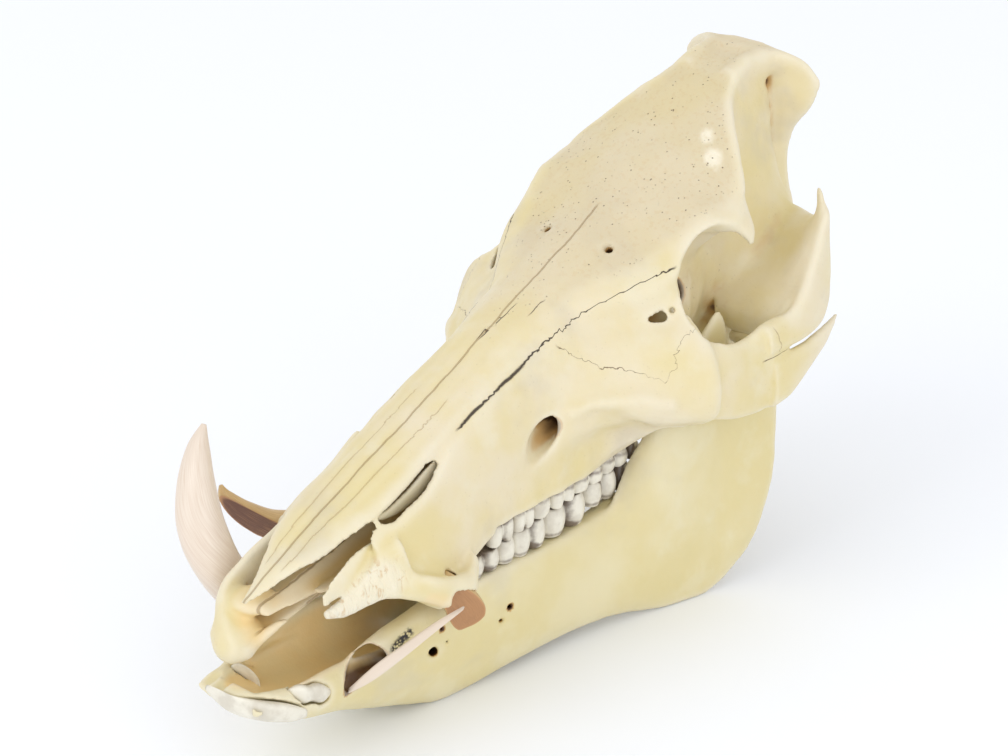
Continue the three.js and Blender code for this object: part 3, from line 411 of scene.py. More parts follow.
cranium = {
    # rows of y, then x and z of: roof, roof shoulder, brow line, upper cheek, side, facial
    # crest, hollow under the crest, gum, palate edge, palate
    "sections": [
        [64, 0, 107, 10, 106.5, 19, 104, 26, 100, 31, 93, 34.5, 88, 36.5, 84, 36, 80, 20, 78, 0,
         79],
        [85, 0, 120, 10, 119, 20, 116, 27, 108.5, 31, 98, 36, 88, 39, 80, 39, 74, 22, 73, 0, 76],
        [110, 0, 132, 11, 130.5, 20.5, 127, 26, 118, 30, 105, 33, 94, 35, 83, 34, 73, 20, 71, 0, 76],
        [135, 0, 144, 11, 142.5, 20.5, 137.5, 27, 127, 31, 113, 32, 103, 33, 92, 33, 82, 17, 79,
         0, 83],
        [165, 0, 158, 12, 156.5, 21.5, 148, 28, 136, 33, 121, 34.5, 109, 34.5, 96, 34, 84, 16, 81,
         0, 86],
        [188, 0, 168.5, 13, 166.5, 26, 158, 32, 147, 40, 133, 46, 121, 38, 105, 34, 84, 15, 81,
         0, 87],
        [205, 0, 176, 15, 173.5, 32, 165.5, 40, 152, 52, 137, 62, 119, 46, 106, 33, 86, 14, 81,
         0, 88],
        [220, 0, 183, 18, 179, 39, 171.5, 48, 159, 63, 143, 72, 117, 54, 106, 32, 88, 13, 82, 0, 91],
        [234, 0, 190, 20, 185.5, 46, 177, 51, 166, 70, 146, 76, 120, 62, 107, 30, 92, 13, 84, 0, 94],
        [243, 0, 195.5, 22, 191, 46.5, 184.5, 45, 174, 38, 158, 40, 140, 37, 120, 29, 100, 13, 86,
         0, 98],
        [258, 0, 204, 24, 199.5, 50, 193, 46, 184, 34, 166, 38, 143, 34, 124, 25, 108, 13, 92,
         0, 104],
        [270, 0, 211, 26, 206.5, 53.5, 192, 49, 185, 32, 168, 35, 146, 31, 130, 22, 116, 13, 104,
         0, 110],
        [283, 0, 218, 26, 214.5, 48.5, 200.5, 42, 192, 31, 176, 31, 158, 30, 142, 24, 126, 13, 112,
         0, 115],
        [297, 0, 226, 17, 225, 31, 220.5, 32, 208, 32, 188, 36, 166, 37, 148, 28, 128, 14, 118,
         0, 120],
        [310, 0, 233, 12, 232.5, 20.5, 231, 24, 218, 31, 194, 39, 170, 41, 150, 33, 130, 15, 122,
         0, 124],
        [325, 0, 238.5, 10, 238.5, 16, 237, 20, 224, 28, 198, 38, 174, 41, 154, 35, 133, 16, 126,
         0, 127],
        [340, 0, 241.5, 10, 241.5, 17, 239, 18, 226, 24, 198, 31, 176, 34, 158, 30, 140, 15, 130,
         0, 130],
    ],
    # rows of z, middle y, half width, half depth, how far the edges sweep back
    "occiput": [[115, 316, 12, 9, 0], [128, 320, 30, 12, 0], [142, 325, 40, 12, 1],
                [156, 330, 41, 11, 3], [168, 334, 37, 10, 5], [180, 337.5, 28, 9, 8],
                [192, 340, 25, 8, 9], [205, 342, 27.5, 6, 9], [214, 343, 33, 4.5, 10],
                [224, 344, 37.5, 3.6, 10], [231, 345, 36.5, 3.4, 9], [237, 346, 29, 3.4, 6],
                [241, 346.5, 20, 3, 3], [244, 347, 10, 2, 0]],
    # rows of y, z of the middle, half width, fall of the edges, half thickness
    "nasal": [[12.5, 87.5, 1.5, 0.3, 1], [22, 92.3, 5, 0.8, 1.6], [34, 98.5, 9.6, 1, 2],
              [44, 103.5, 14.5, 1.8, 2.2], [54, 109, 17.5, 3, 2.3], [66, 114, 19.6, 4, 2.4],
              [90, 124.4, 20, 5, 2.6], [118, 135.7, 19.3, 6.2, 2.2]],
    # From here on rows of nine numbers make a limb (centre, first half axis, second half axis,
    # each x y z), rows of six a blade (y, upper edge x z, lower edge x z, half thickness), rows
    # of four a horn or a bored hole (x y z, radius) and rows of three a path on the surface
    "cheekbone": [[224, 58, 143, 63, 112, 5], [238, 66, 145, 72, 109, 5],
                  [248, 69.5, 142, 73.5, 106, 5], [258, 70, 141.5, 74.3, 104.5, 4.8],
                  [267, 71, 144, 75, 104, 4.5], [276, 71.5, 145, 76, 105.5, 4.2],
                  [282, 72, 145, 76.5, 108, 3.4]],
    "jugalTail": [[270, 76.5, 128.5, 78, 105, 3.8], [282, 77.5, 129.3, 79, 107.5, 3.4],
                  [294, 78, 129.6, 79.3, 114, 2.9], [306, 78.3, 131.4, 79, 122, 2.3],
                  [314, 78, 133.5, 78.4, 128.5, 1.8], [320, 77.5, 135.6, 77.6, 133.4, 1]],
    "archTail": [[268, 73, 144, 76, 131, 3.8], [282, 73.8, 145.5, 77.5, 131, 3.3],
                 [292, 74.6, 151, 77.8, 131.4, 3.2], [300, 74.8, 162, 77.7, 132.6, 3.1],
                 [308, 74.2, 173, 77, 135.5, 3], [314, 71.5, 183, 76, 143, 2.8],
                 [318, 66.5, 191.5, 72.5, 158, 2.6], [321, 63, 194, 68.5, 172, 1.8]],
    # squamous bone behind the coronoid process, in front of the jaw joint
    "jointRoof": [[34, 296, 136, 0, 12, 0, 0, 0, 9], [46, 297, 135, 0, 13, 2, 0, 0, 9],
                  [58, 296, 138, 0, 12, 4, 0, 0, 8], [70, 292, 141, 0, 8, 4, 0, 0, 7]],
    "jointWall": [[27, 300, 132, 6, 0, 0, 0, 10, 0], [29, 299, 118, 5.5, 0, 0, 0, 9, 0],
                  [28, 299, 108, 4, 0, 0, 0, 7, 0], [27, 299, 103, 1.5, 0, 0, 0, 3, 0]],
    "archRoot": [[26, 313, 156, 0, 23, 20, 0, -7, 8], [42, 314, 155, 0, 24, 18, 0, -5, 7],
                 [57, 308, 156, 0, 20, 20, 0, -4, 5], [68, 304, 159, 0, 15, 25, 0, -3, 4],
                 [74, 302, 160, 0, 12, 25, 0, -1, 2]],
    "hook": [[42, 271, 191, 0, 12, 2, 2, 0, 4], [49, 273, 190, 0, 9, 2, 2.5, 0, 3.5],
             [54, 275, 187, 0, 6, 1, 2.6, 0, 2], [57, 276.5, 182.5, 0, 3.6, 0, 2, 0, 1],
             [58.4, 277.3, 177.5, 0, 1, 0, 0.8, 0, 0.4]],
    "pterygoid": [[238, 14, 100, 14, 84, 2.4], [252, 14.5, 106, 15, 83, 2.2],
                  [266, 14, 112, 17, 84, 1.8], [276, 13, 116, 18, 92, 1.4]],
    "bulla": [[17, 296, 124, 8, 0, 0, 0, 10, 0], [18, 297, 112, 8, 0, 0, 0, 9, 0],
              [18, 299, 103, 5, 0, 0, 0, 6, 0], [18, 300, 98, 1.5, 0, 0, 0, 2, 0]],
    "paroccipital": [[28, 322, 144, 12, 0, 0, 0, 7, 0], [28, 320, 126, 9, 0, 0, 0, 5.5, 0],
                     [26, 316, 108, 6, 0, 0, 0, 4.5, 0], [24, 312, 92, 2.5, 0, 0, 0, 2, 0]],
    "condyle": [[10, 322, 136, 8, 0, 0, 0, 3, 13], [13, 331, 133, 8.5, 0, 0, 0, 3, 12],
                [15, 338, 131, 6, 0, 0, 0, 3, 9], [15, 341.5, 130, 2, 0, 0, 0, 1, 4]],
    "premaxillaWall": [[9, -7, 70, -7, 58.5, 4], [14, -15, 78, -14, 57.5, 4.5],
                       [22, -20.5, 85, -20, 58, 4], [36, -21, 91.5, -25, 60, 3.5],
                       [55, -22, 97, -29, 64, 3.2], [74, -23.5, 104, -32, 70, 3.2],
                       [92, -24, 112, -34, 80, 3], [106, -23, 122, -33, 96, 3]],
    "premaxillaKnob": [[-19, 17, 63, 0, 6, 0, 0, 0, 5], [-10, 12, 62, 0, 6, 0, 0, 0, 5.5],
                       [-3, 12, 62, 0, 5, 0, 0, 0, 4.5], [1, 14, 62, 0, 2, 0, 0, 0, 2]],
    "premaxillaShelf": [[-12, 12, 63, 9, 0, 0, 0, 0, 3.5], [-12, 26, 65, 11, 0, 0, 0, 0, 3],
                        [-14, 45, 68, 11, 0, 0, 0, 0, 2.6], [-16, 70, 74, 12, 0, 0, 0, 0, 2.6]],
    "premaxillaSpur": [[-3, 14, 62, 3.5], [0, 22, 66, 2.6], [3, 29, 70, 1.8], [5, 33, 71.5, 0.8]],
    "sutureWedge": [[38, 22, 79.5, 22, 76, 1.6], [46, 23.5, 83, 25, 74.5, 2.6],
                    [56, 25.5, 90, 29.5, 77.5, 3.4], [66, 27, 98, 34, 80, 4],
                    [74, 29, 102, 37, 82, 4]],
    "tuskSleeve": [[34, 71, 84, 5, 0, 2, 0, 0, 4.5], [38.5, 81, 77.5, 7.5, 0, 3, 0, 0, 7],
                   [41, 92, 72, 7.5, 0, 3, 0, 0, 8.5], [41, 102, 70.5, 7, 0, 3, 0, 0, 8],
                   [37, 112, 76, 4, 0, 2, 0, 0, 5]],
    # plates inside the nose: beside the midline, behind the wedge's rough face, and in the slot
    # beside the nasals
    "middlePlate": [[22, 0, 80.3, 4, 76.6, 0.9], [43, -1, 85, 5, 76.2, 1.3],
                    [56, -1, 88.5, 6, 77, 1.4], [68, -1, 91, 6, 77.4, 1.5],
                    [88, -1, 96, 6, 82, 1.7], [120, -1, 108, 6, 92, 2]],
    "wedgePlate": [[36.5, 21.5, 88, 22.5, 82.5, 0.9], [50, 20, 95, 24.5, 84, 1.4],
                   [63, 20, 99.5, 26, 86, 1.7], [76, 22, 100, 27, 89, 2]],
    "slotPlate": [[71.5, 17.5, 108, 17.5, 105.6, 0.8], [83, 17.5, 109.6, 17.5, 103.6, 1.2],
                  [94, 17.5, 113.4, 17.5, 105, 1.3], [104, 18, 119.5, 18, 109, 1.3],
                  [114, 18.5, 123.5, 19.5, 114, 1.3], [128, 21, 128, 24, 117, 1.5]],
    "noseFloor": [[-13, 30, 66, 12, 0, 0, 0, 0, 2.4], [-13, 50, 70, 13, 0, 0, 0, 0, 2.4],
                  [-13, 80, 75.5, 15, 0, 0, 0, 0, 2.6]],
    # the edge where the roof runs out into the wings of the crest at the back of the head
    "crestRidge": [[12, 318, 235.5, 3, 0, 0, 0, 0, 3], [12.5, 330, 238, 3.5, 0, 0, 0, 0, 4],
                   [15.5, 341, 238, 4, 0, 0, 0, 0, 5.5], [22, 347.5, 238.4, 3.4, 0, 0, 0, 0, 3.4],
                   [30, 352, 235.5, 2.6, 0, 0, 0, 0, 2.6], [36, 354, 229.5, 2, 0, 0, 0, 0, 2]],
    "crestFill": [[-14, 342, 239, 0, 5, 0, 0, 0, 3.5], [0, 342, 240.5, 0, 5, 0, 0, 0, 3.5],
                  [14, 342, 239, 0, 5, 0, 0, 0, 3.5]],
    "throatWall": [[16, 304, 122, 0, 5, 0, 0, 0, 7], [24, 304, 121.5, 0, 5, 0, 0, 0, 6.5],
                   [32, 304, 122, 0, 5, 0, 0, 0, 6]],
    "noseShelf": [[9, 45, 81, 2, 0, 0.5, 0, 0, 1.2], [10, 55, 81, 5, 0, 1, 0, 0, 1.7],
                  [11, 72, 83.5, 6.5, 0, 2, 0, 0, 1.8], [11, 92, 88, 8, 0, 2, 0, 0, 2]],
    "tuskRim": [[39, 72, 81], [43, 80, 75], [46.5, 89, 69.5], [48, 97, 67], [47, 105, 66]],
    # rows of y, z, half width, half height of the hollow of the nose
    "noseHollow": [[30, 84, 19, 12], [64, 93, 24, 15], [85, 98.5, 25, 20], [110, 106, 24, 22],
                   [135, 113, 22, 20], [158, 120, 10, 8]],
    "noseSlot": [[28, 46, 111, 8, 0, 0, 0, 0, 12], [28, 64, 111, 8, 0, 0, 0, 0, 9.5],
                 [27, 80, 115.5, 7, 0, 0, 0, 0, 8.5], [26, 95, 120.5, 6.5, 0, 0, 0, 0, 8],
                 [24.5, 106, 126, 5.5, 0, 0, 0, 0, 6.5], [22.5, 114, 130, 3, 0, 0, 0, 0, 3.6],
                 [21, 124, 133.5, 1, 0, 0, 0, 0, 1.6]],
    # eggs of centre and half axes
    "orbit": ((62, 257, 166), (29, 21.5, 25.5)),
    "orbitHole": [[37, 253.5, 158, 4.6], [31, 252, 153, 6], [23, 250, 148, 6]],
    "tearHole": [[52.6, 227, 160.8, 1.7], [50, 231, 158.5, 1.8]],
    "orbitRidges": [[[30.5, 283, 166], [30.7, 283.4, 153.8], [30, 284.2, 142.2], [27.6, 284, 133]],
                    [[33.8, 264.2, 158], [36.8, 259.9, 149.4], [38, 258, 140]]],
    "lacrimalHole": [[50, 240, 158, 5], [40, 226, 150, 7], [34, 214, 142, 4]],
    "infraorbital": [[41, 148, 108, 6, 0, 0, 0, 0, 8.4], [34.5, 159, 113, 6, 0, 0, 0, 0, 8.2],
                     [29.5, 172, 118, 4.6, 0, 0, 0, 0, 6.6], [27, 188, 122, 3, 0, 0, 0, 0, 4]],
    "cheekHollow": ((52, 196, 103), (14, 20, 9)),
    "jawPassage": [[44, 222, 94, 11, 0, 0, 0, 0, 11], [46, 232, 106, 12, 0, 0, 0, 0, 19],
                   [50, 247, 120, 13, 0, 0, 0, 0, 26]],
    "foramenMagnum": [[0, 310, 150, 8, 0, 0, 0, 0, 7], [0, 330, 148, 9.5, 0, 0, 0, 0, 9],
                      [0, 350, 146, 13, 0, 0, 0, 0, 13]],
    "nasalGrooves": [[[4, 26, 94], [7, 60, 110.5], [8, 90, 123.5], [8.5, 125, 138.5],
                      [8, 160, 155]],
                     [[12, 62, 109], [14.5, 90, 121], [14, 125, 136.5], [16, 160, 151.5]]],
    "openSuture": [[20.8, 121, 131], [20.3, 131, 135.3], [20, 144, 139], [21.5, 163, 147],
                   [23, 175, 154], [27, 185, 159], [28, 197, 163], [33, 204, 167], [38, 214.5, 171],
                   [43, 225, 175], [48, 236, 177.5]],
    "templeLine": [[48.5, 283, 200.5], [40, 290, 211], [31, 297, 221], [21.4, 307, 231],
                   [17.2, 316, 236], [15, 328, 240]],
    "browHole": [[18, 223.5, 183.5, 2.1], [17, 229, 174, 1.7]],
    "browGroove": [[17.8, 223, 181], [17, 208, 175], [15.5, 190, 167]],
    "facialCrest": [[38, 177, 124], [45, 188, 127], [56, 202, 127], [65, 211, 124]],
    "crestHollow": [[44.4, 184, 121], [48.5, 190, 118.5], [53, 198, 114], [52, 206, 110]],
    "facialFossa": [[29, 192, 158], [36, 203, 158], [45, 216, 158], [50, 224, 157]],
    "gumBulges": [[32.8, 136, 90], [33.8, 154, 90], [35.2, 172, 92], [36.4, 189, 94]],
    # y, and half the width of the roof there
    "roofEdge": ([150, 200, 243, 270, 283, 290, 297, 307, 316, 328, 345],
                 [8, 22, 44, 50, 47, 39, 30, 21, 17, 15, 20]),
    "orbitRim": [[49, 238.2, 170, 2.4], [53.5, 237.2, 163, 3.8], [59.5, 235.4, 156, 3.8],
                 [66, 235.5, 151, 3]],
}


# The braincase and face: the right half of each row's outline mirrors the left
def skullRings():
    rows = smoothRows(cranium["sections"], 7)
    half = rows[:, 1:].reshape(len(rows), 10, 2)
    right = half[:, 8:0:-1] * [-1, 1]
    ring = np.concatenate([half, right], axis=1)
    wrapped = np.concatenate([ring[:, -1:], ring, ring[:, :2]], axis=1)
    # the same curve again, now round the ring, five points a stretch
    corners = [wrapped[:, n:n + ring.shape[1]] for n in range(4)]
    fine = [cubic(*corners, k / 5) for k in range(5)]
    flat = np.stack(fine, axis=2).reshape(len(rows), -1, 2)
    y = np.broadcast_to(rows[:, :1], flat.shape[:2])
    return np.stack([flat[..., 0], y, flat[..., 1]], -1)


def occiputRings():
    z, y, halfWidth, halfDepth, sweep = (v[:, None] for v in smoothRows(cranium["occiput"], 5).T)
    c, s = oval(40, 3)
    return np.stack([c * halfWidth, y + s * halfDepth + sweep * c**2,
                     np.broadcast_to(z, (len(z), 40))], -1)


def nasalRings():
    y, z, halfWidth, fall, half = (v[:, None] for v in smoothRows(cranium["nasal"], 8).T)
    c, s = oval(40, 2.6)
    return np.stack([c * halfWidth, np.broadcast_to(y, (len(y), 40)),
                     z - half + s * half - fall * c**2], -1)


# Limb along the midline from rows of y, z, half width, half height
def middleLimb(rows, **options):
    return limb([[0, y, z, w, 0, 0, 0, 0, h] for y, z, w, h in rows], **options)


def buildCranium(rooms):
    space = makeSpace((-88, 2, 50), (88, 364, 252), voxel)
    shape = shaper(space, cranium)
    join(space, skinField(space, skinRings(skullRings())), 0.1)
    shape(join, blade, "cheekbone", 5)
    shape(join, limb, "tuskSleeve", 5)
    shape(join, blade, "sutureWedge", 3, both=False)
    carve(space, skinField(space, middleLimb(cranium["noseHollow"], squareness=2.6)))
    shape(carve, limb, "noseSlot infraorbital", 1.5)
    for side in (1, -1):
        for name, soft in (("orbit", 2), ("cheekHollow", 5)):
            centre, radii = cranium[name]
            carve(space, eggField(space, np.multiply(centre, [side, 1, 1]), radii), soft)
    shape(carve, horn, "lacrimalHole", 1.5)
    shape(carve, limb, "jawPassage", 1.5)
    join(space, skinField(space, skinRings(occiputRings())), 5)
    join(space, skinField(space, skinRings(nasalRings())), 1.5)
    shape(join, blade, "archTail jugalTail", 2.5)
    shape(join, limb, "archRoot jointRoof jointWall hook bulla paroccipital condyle", 5)
    shape(join, blade, "middlePlate", 1.5, both=False)
    shape(join, blade, "wedgePlate slotPlate", 1.5)
    shape(join, limb, "noseShelf", 1.5, both=False)
    shape(join, blade, "pterygoid", 2)
    # the right premaxilla, thick and lumpy at its tip
    shape(join, blade, "premaxillaWall", 2, both=False)
    shape(join, limb, "premaxillaKnob", 4, both=False)
    shape(join, limb, "premaxillaShelf", 2, both=False)
    join(space, eggField(space, (-9, 18, 66.5), (8.5, 9, 8.5)), 6)
    join(space, eggField(space, (-8, 26, 79), (9, 10, 5)), 4)
    shape(join, limb, "throatWall", 4, both=False)
    shape(join, limb, "noseFloor", 2, both=False)
    shape(join, limb, "crestRidge", 5)
    shape(join, limb, "crestFill", 3, both=False)
    shape(join, horn, "premaxillaSpur", 2, both=False)
    shape(carve, limb, "foramenMagnum", 1.5, both=False)
    for side in (1, -1):
        swellOf = lambda rows, width, height: swell(space, onSide(rows, side), width, height)
        swellOf(cranium["templeLine"], 3.0, 1.2)
        swellOf(cranium["facialCrest"], 3.5, 2.2)
        swellOf(cranium["crestHollow"], 4.5, -2.6)
        swellOf(cranium["facialFossa"], 7.5, -3.2)
        for x, y, z in cranium["gumBulges"]:
            swellOf([[x, y, z + 4], [x, y, z - 4]], 4.0, 1.1)
        bore(space, onSide(cranium["orbitRim"], side), 1.5)
        swellOf(cranium["openSuture"], 0.9, -1.3)
        swellOf(cranium["tuskRim"], 3.2, 1.6)
        swellOf(cranium["browGroove"], 2.2, -0.7)
        for name in ("browHole", "tearHole", "orbitHole"):
            bore(space, onSide(cranium[name], side))
        for ridge in cranium["orbitRidges"]:
            swellOf(ridge, 2.0, 1.3)
        for groove in cranium["nasalGrooves"]:
            swellOf(groove, 1.3, -0.5)
    swell(space, [[0, 14, 89], [0, 60, 112], [0, 110, 133], [0, 150, 151]], 1.5, -0.9)
    roughen(space, [(0.22, 14, 5), (0.12, 6, 8)])
    for room in rooms:
        carve(space, skinField(space, room), 0.6)
    return space


mandible = {
    # rows of y, upper edge x z, lower edge x z, half thickness
    "half": [[58, 17, 48, 6, 22, 8], [78, 22, 54, 8, 11, 9], [98, 25.5, 60, 12, 3, 9],
             [116, 26, 62, 16, -1, 8.5], [150, 26.5, 59, 22.5, 3.5, 8.5],
             [180, 27, 59.5, 26.5, 4.5, 9], [205, 29, 62, 31, 4.5, 9.5], [218, 34, 74, 35, 3.5, 9],
             [230, 43, 102, 39.5, 1.5, 7.5], [245, 48.5, 127, 44.5, -1, 6],
             [258, 50, 143, 48.5, -1, 5], [266, 50.5, 146, 51, 1.5, 4],
             [273, 51.5, 126, 53, 5.5, 4.5], [282, 53, 121, 55, 12.5, 5],
             [290, 55, 126, 57, 23, 5], [296, 57, 118, 59.5, 42, 4], [299.5, 59, 100, 60, 60, 2]],
    # rows of y, middle z, half width, half height of the chin
    "chin": [[1, 45.5, 18, 4], [12, 43, 21, 8.5], [30, 38, 22, 12.5], [50, 35, 22, 16.5],
             [72, 30, 21, 20], [95, 21, 17, 18], [114, 13, 13, 14], [122, 12, 6, 7]],
    "condyle": [[41, 290, 124, 0, 4, 0, 0, 0, 3], [47, 291, 125, 0, 6.5, 0, 0, 0, 5],
                [54, 292.5, 125.5, 0, 7, 0, 0, 0, 5.5], [62, 293, 124.5, 0, 6, 0, 0, 0, 4.5],
                [66, 293, 123, 0, 3, 0, 0, 0, 2.5]],
    "dish": [[0, 8, 56, 13, 0, 0, 0, 0, 9], [0.5, 30, 54, 15.5, 0, 0, 0, 0, 14],
             [2, 60, 54, 14, 0, 0, 0, 0, 16], [2, 90, 52, 13.5, 0, 0, 0, 0, 20],
             [0, 120, 50, 15, 0, 0, 0, 0, 30]],
    "dishWall": [[14, -16, 47, -16, 36, 3], [26, -20, 52, -19, 36, 3.6],
                 [38, -22, 56.5, -20, 36, 4.2], [50, -19, 58, -18, 38, 4.5],
                 [62, -17.5, 58, -17, 38, 4.5], [76, -16.5, 56, -15, 38, 4.5]],
    "brokenSocket": [[21, 49, 35.5, 2], [21.5, 54, 39.5, 4.6], [21, 61, 43.6, 6.4],
                     [17.5, 72, 42, 6], [14.5, 86, 35, 5.4], [13, 100, 26, 4]],
    "spongyBreak": [[25.5, 77, 47], [29, 85, 52]],
    # bone round the root of the right tusk
    "tuskCollar": [[-19, 86, 33, 12], [-23, 74, 39, 12.5], [-26, 63, 44, 12.5],
                   [-27, 57, 45, 10]],
    "frontSockets": [((-15, 2, 50), (5, 9, 4)), ((-6, 1, 50), (3.4, 9, 3.6))],
    "nerveHoles": [[25.5, 98, 34.5, 2.6], [27.5, 105, 37, 1.2], [30.5, 99, 46.8, 1.2],
                   [29, 138.5, 33, 1.2], [32.5, 141.3, 39.7, 1.6]],
}


def buildMandible(rooms):
    space = makeSpace((-74, -8, -8), (74, 308, 154), voxel)
    shape = shaper(space, mandible)
    shape(join, lambda rows: blade(rows, sides=36), "half", 0.1)
    join(space, skinField(space, middleLimb(mandible["chin"], sides=48, squareness=2.1)), 6)
    shape(join, limb, "condyle", 4)
    shape(join, horn, "tuskCollar", 4, both=False)
    shape(join, blade, "dishWall", 3, both=False)
    shape(carve, limb, "dish", 2.5, both=False)
    shape(carve, horn, "brokenSocket", 0.6, both=False)
    swell(space, mandible["spongyBreak"], 3.2, -1.4)
    carve(space, skinField(space, horn(grown(teeth["lowerTusk"], 0.7), flat=0.86)), 0.8)
    bore(space, [[-13.5, 24, 47, 1.2], [-12.5, 28, 44, 1.0]])
    for centre, radii in mandible["frontSockets"]:
        carve(space, eggField(space, centre, radii), 0.8)
    for x, y, z, r in mandible["nerveHoles"]:
        for side in (1, -1):
            hole = [[x + 4, y - 3, z + 2, r], [x - 6, y + 5, z - 3, r * 0.8]]
            bore(space, onSide(hole, side), 0.5)
    roughen(space, [(0.2, 16, 3), (0.1, 6, 4)])
    for room in rooms:
        carve(space, skinField(space, room), 0.6)
    # the lower edge is cut flat at z 0, where the skull rests
    heights = (np.arange(space["field"].shape[2]) + space["low"][2]) * space["step"]
    space["field"] = np.maximum(space["field"], -heights.astype(np.float32))
    return space


teeth = {
    "names": ["premolar_2", "premolar_3", "premolar_4", "molar_1", "molar_2", "molar_3"],
    "gap": 0.35,  # between neighbours and between the two rows
    "bite": {"height": 70.5, "at": 130, "rise": 0.085, "wave": 0.7, "cusps": 10.5},
    "root": 2.2,  # how far a crown reaches past the gum line
    # y where each tooth starts, how many lobes, width; rows of y, x of the outer edge, z of the gum
    "upper": {"starts": [132.5, 147.5, 160.5, 172.5, 187.5, 207.5, 235],
              "lobes": [2, 2, 1, 2, 2, 3], "width": [8, 10.5, 13, 14, 15.5, 15],
              "rows": [[124, 30.5, 81.5], [148, 32, 82.5], [195, 33.5, 83], [235, 32.5, 86]]},
    "lower": {"starts": [112, 119.5, 140, 150, 171, 199, 230],
              "lobes": [1, 2, 1, 2, 2, 3], "width": [5, 7, 8.5, 10.5, 12, 11.5],
              "rows": [[110, 29.5, 62], [125, 30, 62], [170, 30.5, 60], [200, 31.5, 62],
                       [230, 32, 70]]},
    # rows of x y z and radius
    "lowerTusk": [[-22, 74, 39, 7.5], [-27, 60, 46, 9.6], [-33, 46, 60, 11.2],
                  [-40, 36, 78, 11.6], [-46.5, 34, 96, 10.6], [-53, 38, 113, 8.2],
                  [-58, 44.5, 126, 5], [-60.5, 50.5, 134, 1.2]],
    "upperTuskRight": [[-36, 94, 82, 4], [-41, 87, 77, 7], [-49, 76, 78, 7.4],
                       [-56, 67, 85, 6.2], [-61, 61.5, 94, 3.4], [-62.5, 60, 100, 0.9]],
    "upperTuskLeft": [[38, 91, 79, 5], [40.5, 94, 73, 8.5], [43, 97.5, 66, 11.2],
                      [44.6, 100, 60, 11.6], [45.6, 101.5, 56.8, 9], [46, 102, 55.4, 2.5]],
    # a limb, as in the cranium
    "splinter": [[22, 50.5, 35.5, 0, 1, 1, 0.8, 0, 0], [27.8, 60, 42.3, 0, 2, 3.4, 1.2, 0, 0],
                 [34.6, 71.2, 50.5, 0, 2, 3.2, 1.2, 0, 0], [42.1, 81.9, 59.7, 0, 2, 2.4, 1, 0, 0],
                 [49.1, 92, 67.4, 0, 1, 0.8, 0.7, 0, 0]],
    # rows of x y z, half width, half height
    "front": {
        "lower_incisor_left": [[21.5, 24, 36.8, 2, 2.4], [19, 16, 40, 4.6, 4.6],
                               [14, 5.4, 44, 5, 5], [5, -0.6, 46, 4.6, 4.4],
                               [-4, -1.5, 47.8, 3, 2.8], [-8.5, -2, 49.2, 1.2, 1.2]],
        "lower_corner_incisor_left": [[16.5, 21, 46, 1.6, 2], [18.2, 25, 44.3, 3.8, 4.6],
                                      [19.2, 29.6, 42.8, 3.2, 4], [19.8, 34.5, 41, 3.8, 4.8],
                                      [20.2, 39.5, 39, 1.6, 2]],
        "lower_corner_incisor_right": [[-13, 16.5, 48.5, 1, 1.2], [-11.5, 18.5, 47.5, 2.4, 2.8],
                                       [-8, 20, 45.5, 3, 3.4], [-4, 20.5, 43.5, 2.6, 2.8],
                                       [-1, 20, 42, 1, 1.2]],
    },
}


# The biting surface rises slowly to the back and waves a little from cusp to cusp
def biteHeight(y, waves=1):
    bite = teeth["bite"]
    return (bite["height"] + (y - bite["at"]) * bite["rise"]
            + waves * bite["wave"] * np.sin(y * 2 * np.pi / bite["cusps"]))


# x of the outer edge of a row of teeth at some y, and z of the gum there
def gumLine(toothRow, y):
    ys, edges, heights = np.array(toothRow["rows"], float).T
    return np.interp(y, ys, edges), np.interp(y, ys, heights)


# A crown: round columns, two to each lobe, swollen at half height and blended into one another,
# cut by the biting surface. Up is -1 for a crown that points down.
def toothMesh(toothRow, index, up):
    y0, y1 = (toothRow["starts"][index] + teeth["gap"] / 2,
              toothRow["starts"][index + 1] - teeth["gap"] / 2)
    edge, gum = gumLine(toothRow, (y0 + y1) / 2)
    root, bite = gum - up * teeth["root"], biteHeight((y0 + y1) / 2, waves=0)
    width, lobes = toothRow["width"][index], toothRow["lobes"][index]
    low, high = min(root, bite) - 2, max(root, bite) + 2
    space = makeSpace((edge - width - 2, y0 - 1.5, low), (edge + 2, y1 + 1.5, high), 0.5)
    x, y, z = cellCentres(space, tuple(slice(0, n) for n in space["field"].shape))
    share = (z - root) / (bite - root)
    swelling = 0.8 + 0.24 * np.sin(np.clip(share, 0, 1) * np.pi) ** 1.2
    crown = np.full(x.shape, 9.0, np.float32)
    for k in range(lobes):
        lastOfThree = lobes == 3 and k == 2
        radius = (y1 - y0) / lobes / 2 * (0.86 if lastOfThree else 1.0)
        middle = y0 + (k + 0.5) * (y1 - y0) / lobes
        for columnX in (edge - radius, edge - max(width - radius, radius)):
            column = np.hypot(x - columnX, y - middle) - radius * swelling
            crown = softLesser(crown, column, 1.0)
    ends = np.maximum(-up * (z - root), up * (z - biteHeight(y)) + teeth["gap"] / 2)
    space["field"] = -softLesser(-crown, -ends, 1.6).astype(np.float32)
    return surfaceOf(space, 1)


# Room for a row of teeth: a flat-bottomed trough, open to zOpen and so far past the outer edge
def toothRoom(toothRow, up, outward, zOpen):
    ys = np.linspace(toothRow["starts"][0] - 1, toothRow["starts"][-1] + 1, 12)
    edge, gum = gumLine(toothRow, ys)
    floor = gum - up * (teeth["root"] + 0.2)
    inner = edge - np.interp(ys, toothRow["starts"][:-1], toothRow["width"]) - 1
    outer = edge + outward
    mouth = np.full(12, zOpen)
    corners = ((inner, floor), (outer, floor), (outer, mouth), (inner, mouth))
    return skinRings(np.stack([np.stack([x, ys, z], -1) for x, z in corners], 1))


def grown(rows, extra):
    rows = np.array(rows, float)
    rows[:, 3] += extra
    return rows


